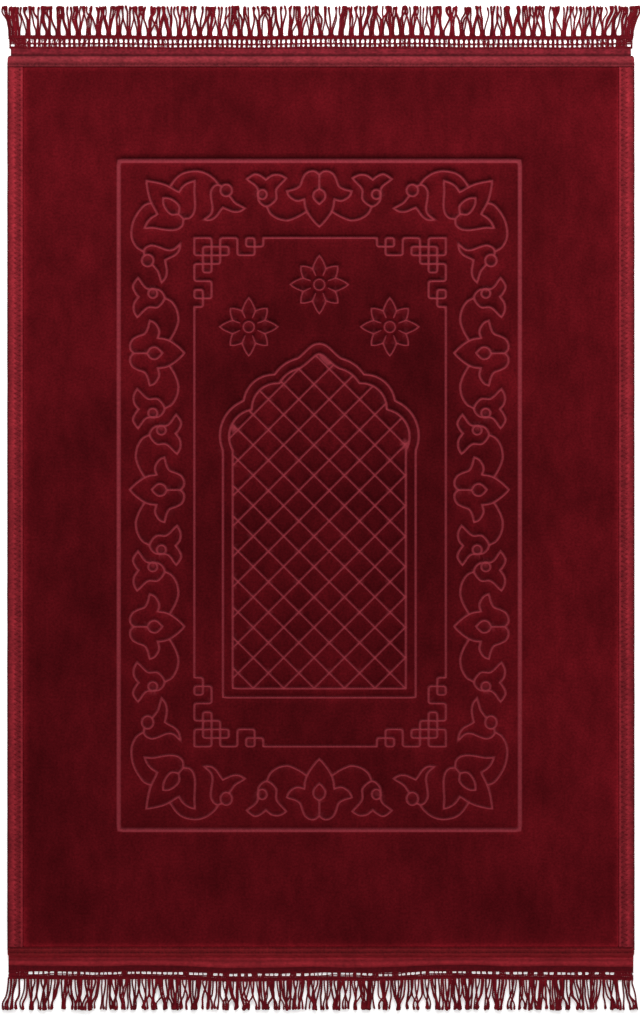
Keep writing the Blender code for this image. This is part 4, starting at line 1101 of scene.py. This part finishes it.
def ladder_top(end, material):
    """Yarns from the tape to the header, a cord across them, and dense knitting at the two ends."""
    shape = Trim(end, "ladder")
    chance = shape.chance
    cross = end.hole_in - CROSS_IN
    half_row = HOLES / 2 * HOLE_PITCH
    for i in range(HOLES + 1):
        x = (i - HOLES / 2) * HOLE_PITCH
        wave = hem_wave(x, end)
        middle = x + chance.uniform(-PAIR_WANDER, PAIR_WANDER)
        outer = end.hole_out + 0.8 + wave
        for k in (-PAIR_HALF, PAIR_HALF):
            shape.thread(middle + k, (end.tape_edge - 0.6, TAPE_UP), (cross + 0.3, ROW_UP), INNER_PAIR)
            shape.thread(middle + 0.8 * k, (cross - 0.3, ROW_UP), (outer, ROW_UP), OUTER_PAIR)
        crowded = abs(abs(x) - half_row) < CROWD
        for _ in range(chance.choice(INNER_STRAYS) + 2 * crowded):
            start = x + chance.uniform(0.5, 5.5)
            shape.thread(start, (end.tape_edge - 0.4, TAPE_UP), (cross + 0.4, ROW_UP), INNER_STRAY)
        for _ in range(chance.choice(OUTER_STRAYS) + crowded * chance.choice(CROWDED_STRAYS)):
            start = x + chance.uniform(1.0, 5.0)
            shape.thread(start, (cross, ROW_UP), (end.hole_out + 0.6 + wave, ROW_UP), OUTER_STRAY)
    shape.cord(cross, 1.1, 1.35, 0.2, TRIM_HALF_WIDTH)
    shape.cord(end.tape_edge + 1.2, 0.85, 1.1, 0.15, TRIM_HALF_WIDTH)
    near, far, low, high = EYELET
    for side in (-1, 1):
        for x in np.arange(half_row + 1.0, CORD_HALF_WIDTH - 1.2, CLOSE_STEP):
            start, stop = end.tape_edge - 0.4, end.hole_out + 0.5
            spans = ((start, stop),)
            if near - 0.5 < x < far + 0.5:
                spans = (start, low + 0.2), (high - 0.2, stop)
            for start, stop in spans:
                shape.thread(side * x, (start, 0.7), (stop, 0.8), CORNER_THREAD, CORNER_LIFT)
    return shape.piece("fringe_top_ladder", material, "yarn")


def ladder_bottom(end, material):
    """The crumpled trim at this end: a dark channel of folded layers with painted shade in it, then a row of
    small openings.
    """
    shape = Trim(end, "ladder")
    chance = shape.chance
    channel = end.hole_in + 1.2
    last = CORD_HALF_WIDTH - 1
    for x in steps_between(-last, last, CHANNEL_PITCH):
        shape.thread(x, (end.tape_edge - 0.8, 0.7), (channel + hem_wave(x, end), ROW_UP), CHANNEL_THREAD,
                     tones=chance.uniform(*CHANNEL_SHADES))
    x, closed = -last, 0
    while x < last:
        wave = hem_wave(x, end)
        shape.thread(x, (channel - 0.4 + wave, ROW_UP), (end.hole_out + 1.2 + wave, ROW_UP), OPENING_THREAD)
        if closed or abs(x) > HOLES / 2 * HOLE_PITCH - 4:
            closed = max(0, closed - 1)
            x += CLOSE_STEP
        else:
            closed = chance.choice(CLOSED)
            x += chance.uniform(*OPENING)
    # Plain cords painted dark under the channel's threads, for the shade in its folds
    for out in steps_between(end.tape_edge, channel, CHANNEL_STEP):
        shape.core(out, 0.45, 0.8, 0.1, -0.6)
    shape.cord(end.hole_in + 1.5, 1.0, 1.1, 0.35, drift=ROW_DRIFT)
    shape.cord(end.hole_out + 1.1, 0.8, 0.9, 0.2)
    shape.cord(end.hole_out + 0.2, 0.95, 0.95, 0.35, drift=ROW_DRIFT)
    return shape.piece("fringe_bottom_ladder", material, "yarn")


def header(end, material):
    """The knitted cord that the yarns hang from: two rows of slanted loops over a flat core."""
    shape = Trim(end, "header")
    chance = shape.chance
    middle = (end.hole_out + end.cord_edge) / 2 + HEADER_SHIFT[end.name]
    for row in HEADER_CORES:
        shape.core(middle + row, 0.75, 1.15, 0.05, -0.3)
    for row, slant in BRAID_ROWS:
        for x in np.arange(-CORD_HALF_WIDTH + 1, CORD_HALF_WIDTH - 0.9, BRAID_PITCH):
            out = middle + row + hem_wave(x, end) + chance.uniform(-BRAID_WANDER, BRAID_WANDER)
            reach, lean = chance.uniform(*BRAID_REACH), slant * chance.uniform(*BRAID_LEAN)
            points = [(x + k * lean, end.side * (out + k * reach), BRAID_LOW if k else BRAID_HIGH)
                      for k in (-1, 0, 1)]
            shape.tube(curve(points, 2), BRAID_RADIUS * np.array(BRAID_SHAPE), 5, chance.uniform(-0.25, 0.15))
    return shape.piece(f"fringe_{end.name}_header", material, "yarn")


# ---- The fringe yarns ----
YARNS = ((-1, 1), (-1, 1), (-1, 0, 1))      # in a lock: two or three
CORNER_YARNS = {"top": ((-1, 0, 1),), "bottom": ((-1, 1), (0,))}
YARN_RADIUS = (1.25, 1.8)
YARN_TWIST = 8.0            # length of a full turn of its plies
YARN_STEP = 2.1             # between rings of points
YARN_PLIES = 3
YARN_TONES = (-0.35, 0.3)
YARN_SHADE = 0.35           # how much darker a ply is underneath
CROSSING_SHARE = {"top": 0.3, "bottom": 0.46}     # how many yarns go over to the next lock
TIP_SWELL = 1.5             # the cut ends are a little thicker
BUNDLE_LEAN = 1.5           # how far a whole bundle may lean to one side at its tips
YARN_FOOT = 1.2             # how far inside the header a yarn starts
YARN_STRAY = 1.1            # how far either way a single yarn may stray
TIP_WANDER = 0.3
YARN_KNOTS = (0.16, 0.38, 0.58, 0.8)    # places along a yarn where its route is set
YARN_LEVELS = (1.0, 1.7, 2.2)           # height of a yarn that lies low, on another, or over the next lock
STRAYS, STRAY_RADIUS = 26, 0.25
CORNER_WIDTH = 16.0         # of the corners, where the locks no longer stand in bundles
Fan = namedtuple("Fan", "spread root waist middle late tip")    # of a bundle and then of the yarns in a lock
FANS = {"top": Fan(1.0, 1.05, 0.78, 2.3, 2.6, 1.9), "bottom": Fan(1.35, 1.6, 1.0, 2.3, 1.8, 1.4)}


def fringe_yarns(end, material):
    """Yarns that leave the header in bundles, fan out, cross and meet their neighbours at the tips."""
    shape = Trim(end, "yarns")
    chance = shape.chance
    fan = FANS[end.name]
    paths = locks(end)
    lean, last_centre = 0.0, None
    for k, ((_, centre), (root, middle, tip, reach)) in enumerate(zip(bundles(), paths)):
        inner = abs(root) < CORD_HALF_WIDTH - CORNER_WIDTH
        if centre != last_centre:
            last_centre = centre
            lean = chance.uniform(-BUNDLE_LEAN, BUNDLE_LEAN) * inner
        for j in chance.choice(YARNS if inner else CORNER_YARNS[end.name]):
            radius = chance.uniform(*YARN_RADIUS)
            start = centre + fan.spread * (root - centre) + j * fan.root
            mid, last, over = middle + lean / 2, tip + lean, False
            if chance.random() < CROSSING_SHARE[end.name] and 4 < k < len(paths) - 5:
                other = paths[k + chance.choice((-1, 1))]
                mid, last, over = (middle + other[1]) / 2, other[2], True
            foot = end.cord_edge - YARN_FOOT + hem_wave(start, end)
            tip_out = FRINGE_TIPS - 0.35 * (FRINGE_TIPS - reach) - chance.uniform(0, 1.4)
            length = tip_out - foot
            spread = chance.uniform(0.75, 1.2)
            z = radius * YARN_LEVELS[2 if over else j > 0]
            stray = chance.uniform(-YARN_STRAY, YARN_STRAY)
            swell = TIP_SWELL * chance.uniform(0.85, 1.15)
            waist = centre + fan.waist * (start - centre)
            outs = [foot + share * length for share in YARN_KNOTS]
            tip_x = last + j * fan.tip + chance.uniform(-TIP_WANDER, TIP_WANDER)
            points = [(start, foot, 0.8 * radius),
                      (waist, outs[0], 0.4 + z),
                      (0.5 * waist + 0.5 * (mid + j * fan.middle) + stray, outs[1], z + 0.15),
                      (mid + j * fan.middle * spread + stray, outs[2], z),
                      (last + j * fan.late * spread - stray, outs[3], 1.15 * z),
                      (tip_x, tip_out, 1.35 * swell * radius)]
            route = curve([(x, end.side * out, up) for x, out, up in points], 5)
            radii = radius * np.array((0.75, *(1,) * 13, swell, 0.8 * swell))
            tone = chance.uniform(*YARN_TONES)
            shape.yarn(route, radii, YARN_TWIST, YARN_STEP, YARN_PLIES, tone, YARN_SHADE)
    for _ in range(STRAYS):
        x = chance.uniform(-CORD_HALF_WIDTH, CORD_HALF_WIDTH)
        foot = end.cord_edge + chance.uniform(0, 18)
        lean, length = chance.uniform(-5, 5), chance.uniform(8, 18)
        points = [(x, end.side * foot, 1.2), (x + 0.6 * lean, end.side * (foot + 0.5 * length), 1.8),
                  (x + lean, end.side * min(foot + length, FRINGE_TIPS), 0.4)]
        shape.tube(curve(points, 4), STRAY_RADIUS, tones=-0.3)
    return shape.piece(f"fringe_{end.name}_yarns", material, "yarn", f"fringe_{end.name}")


# ---- Materials ----
VELVET = (0.064, 0.0023, 0.0042)
# Pressed pile: its own rose colour, with a painted sheen of its flattened fibres
PRESSED_ROSE_WITH_SHEEN = (0.187, 0.0226, 0.0315)
VELVET_SHEEN = (0.12, (0.8, 0.05, 0.08, 1.0))       # weight and tint
CLOTH_SHEEN = (0.08, (0.8, 0.15, 0.2, 1.0))
YARN_CLOTH = (0.105, 0.0030, 0.0070)
CLOTHS = {                  # colour, how uneven its dye is, and the size of its threads
    "backing": (YARN_CLOTH, 0.15, 0.8),
    "side_cloth": ((0.153, 0.0092, 0.0142), 0.3, 0.9),
    # The hem and the trim are each one cloth at both ends, coloured for the light at each end: painted light
    # and shade
    "hem_cloth_top": ((0.135, 0.0125, 0.0175), 0.32, 0.8),
    "hem_cloth_bottom": ((0.130, 0.0060, 0.0088), 0.25, 0.8),
    "trim_cloth_top": ((0.114, 0.0076, 0.0128), 0.38, 0.8),
    "trim_cloth_bottom": ((0.185, 0.0102, 0.0155), 0.25, 0.8),
    "yarn_cloth": (YARN_CLOTH, 0.2, 0.5),
}
TONE_REACH = 0.75           # how much a tone of 1 lightens a cloth


def set_inputs(node, values):
    for name, value in values.items():
        node.inputs[name].default_value = value


class Material:
    """A cloth material, built up node by node."""

    def __init__(self, name, roughness, specular, sheen):
        self.material = bpy.data.materials.new(name)
        self.material.use_nodes = True
        self.tree = self.material.node_tree
        self.shader = self.tree.nodes["Principled BSDF"]
        set_inputs(self.shader, {"Roughness": roughness, "Specular IOR Level": specular,
                                 "Sheen Weight": sheen[0], "Sheen Roughness": 0.45, "Sheen Tint": sheen[1]})
        self.place = self.add("ShaderNodeTexCoord", {}).outputs["Object"]

    def add(self, kind, inputs, **settings):
        """A node with its settings and inputs, each of them a value or another node's output."""
        made = self.tree.nodes.new(kind)
        for name, value in settings.items():
            setattr(made, name, value)
        for name, value in inputs.items():
            if isinstance(value, bpy.types.NodeSocket):
                self.tree.links.new(value, made.inputs[name])
            else:
                made.inputs[name].default_value = value
        return made

    def attribute(self, name):
        return self.add("ShaderNodeAttribute", {}, attribute_name=name).outputs["Fac"]

    def maths(self, operation, a, b):
        return self.add("ShaderNodeMath", {0: a, 1: b}, operation=operation).outputs[0]

    def grain(self, size, stretch=(1, 1, 1), detail=3.0):
        """Smooth noise from 0 to 1 with lumps of about this size in millimetres."""
        place = self.add("ShaderNodeMapping", {"Vector": self.place, "Scale": [1 / s for s in stretch]})
        spots = self.add("ShaderNodeTexNoise", {"Vector": place.outputs[0], "Scale": 0.5 / (size * MM),
                                                "Detail": detail, "Roughness": 0.6})
        return self.add("ShaderNodeMapRange", {"Value": spots.outputs["Fac"], "From Min": 0.3,
                                               "From Max": 0.7}).outputs[0]

    def swing(self, value, amount):
        """A number from 0 to 1 as a factor from 1 - amount to 1 + amount."""
        return self.add("ShaderNodeMapRange", {"Value": value, "To Min": 1 - amount, "To Max": 1 + amount},
                        clamp=False).outputs[0]

    def scaled(self, colour, *factors):
        """A colour made lighter or darker by each factor."""
        for factor in factors:
            colour = self.add("ShaderNodeVectorMath", {0: colour, 3: factor}, operation="SCALE").outputs[0]
        return colour

    def finish(self, colour, height, distance):
        bump = self.add("ShaderNodeBump", {"Height": height, "Distance": distance * MM, "Strength": 1.0})
        self.tree.links.new(colour, self.shader.inputs["Base Color"])
        self.tree.links.new(bump.outputs[0], self.shader.inputs["Normal"])
        return self.material


def velvet_material():
    """Maroon pile, lighter and rosier where it is pressed flat, mottled, and with the lie of its pile and
    painted light, shade and sheen from a vertex attribute.
    """
    m = Material("velvet", 0.9, 0.02, VELVET_SHEEN)
    broad, fine = m.grain(55, detail=1.0), m.grain(11, (0.7, 1.5, 1))
    worn = m.maths("MULTIPLY", m.swing(broad, 0.2), m.swing(fine, 0.17))
    pile = m.scaled(VELVET, m.attribute("nap"), worn, m.swing(m.grain(1.5), 0.24))
    line = m.scaled(PRESSED_ROSE_WITH_SHEEN, m.swing(m.grain(2.0), 0.16))
    mixed = m.add("ShaderNodeMix", {0: m.attribute("pressed"), 6: pile, 7: line}, data_type="RGBA").outputs[2]
    return m.finish(mixed, m.maths("ADD", m.grain(0.9), m.grain(3.5)), 0.16)


def woven_material(name, colour, mottle, thread):
    """Plain cloth or yarn: a fine weave, an uneven dye, and darker folds where the tone says so."""
    m = Material(name, 0.8, 0.06, CLOTH_SHEEN)
    tone = m.maths("ADD", 1.0, m.maths("MULTIPLY", m.attribute("tone"), TONE_REACH))
    fine, broad = m.grain(1.6, (1.4, 1, 1)), m.grain(12)
    dye = m.scaled(colour, m.swing(fine, mottle), m.swing(broad, 0.6 * mottle), tone)
    return m.finish(dye, m.grain(thread, detail=2.0), 0.18)


# ---- Floor, light and camera ----
FLOOR = 6.0                 # metres
FLOOR_DROP = 0.0003
FLOOR_GLOW = 0.35           # a lit backdrop, so that hardly a shadow shows in the fringe
SKY = 0.62
KEY = 77.0                  # watts
KEY_SIZE = (2.6, 0.9)
KEY_PLACE = (0.15, 1.7, 1.7)
PHOTO_WIDTH, PHOTO_HEIGHT = 640, 1015
PIXEL = 1.2763              # millimetres of the rug's plane for each pixel
RUG_CENTRE = (320.9, 507.95)    # pixel of the rug's middle
LENS, SENSOR = 300.0, 36.0


def floor():
    half = FLOOR / 2
    mesh = bpy.data.meshes.new("floor")
    corners = [(x, y, -FLOOR_DROP) for x, y in ((-half, -half), (half, -half), (half, half), (-half, half))]
    mesh.from_pydata(corners, [], [(0, 1, 2, 3)])
    material = bpy.data.materials.new("floor")
    material.use_nodes = True
    set_inputs(material.node_tree.nodes["Principled BSDF"],
               {"Base Color": (0.98, 0.98, 0.98, 1.0), "Roughness": 0.9,
                "Emission Color": (1.0, 1.0, 1.0, 1.0), "Emission Strength": FLOOR_GLOW})
    mesh.materials.append(material)
    linked("floor", mesh)


def light():
    world = bpy.data.worlds.new("studio")
    world.use_nodes = True
    set_inputs(world.node_tree.nodes["Background"], {"Color": (1.0, 0.99, 0.985, 1.0), "Strength": SKY})
    bpy.context.scene.world = world
    lamp = bpy.data.lights.new("key", "AREA")
    lamp.shape = "RECTANGLE"
    lamp.size, lamp.size_y = KEY_SIZE
    lamp.energy = KEY
    key = linked("key", lamp)
    key.location = KEY_PLACE
    key.rotation_euler = Vector(KEY_PLACE).to_track_quat("Z", "Y").to_euler()


def camera():
    """Straight down from far off, so that the rug's plane fills the photograph's frame to scale."""
    eye = linked("camera", bpy.data.cameras.new("camera"))
    eye.data.lens, eye.data.sensor_width = LENS, SENSOR
    eye.data.clip_end = 100.0
    x = (PHOTO_WIDTH / 2 - RUG_CENTRE[0]) * PIXEL * MM
    y = (RUG_CENTRE[1] - PHOTO_HEIGHT / 2) * PIXEL * MM
    away = PHOTO_HEIGHT * PIXEL * MM * LENS / SENSOR
    eye.location = (x, y, THICKNESS * MM + away)
    bpy.context.scene.camera = eye


# ---- The rug ----
def main():
    cloths = {name: woven_material(name, *look) for name, look in CLOTHS.items()}
    yarn_cloth = cloths["yarn_cloth"]
    rug = velvet(velvet_material(), cloths["backing"])
    trimmings = []
    for name, side in (("side_binding_left", -1), ("side_binding_right", 1)):
        cloth = cloths["side_cloth"]
        trimmings += [side_binding(name, side, cloth), zigzag(name, side, cloth)]
    for end, hem, tape in ((TOP, TOP_HEM, TOP_TAPE), (BOTTOM, BOTTOM_HEM, BOTTOM_TAPE)):
        hem_cloth, trim_cloth = cloths[f"hem_cloth_{end.name}"], cloths[f"trim_cloth_{end.name}"]
        trimmings += [end_binding(end, hem, hem_cloth), hem_seams(end, hem, hem_cloth),
                      trim_tape(end, tape, trim_cloth), header(end, yarn_cloth),
                      fringe_yarns(end, yarn_cloth)]
    trimmings += [ladder_top(TOP, yarn_cloth), ladder_bottom(BOTTOM, yarn_cloth)]

    floor()
    light()
    camera()
    bpy.context.scene.view_settings.view_transform = "Standard"


main()
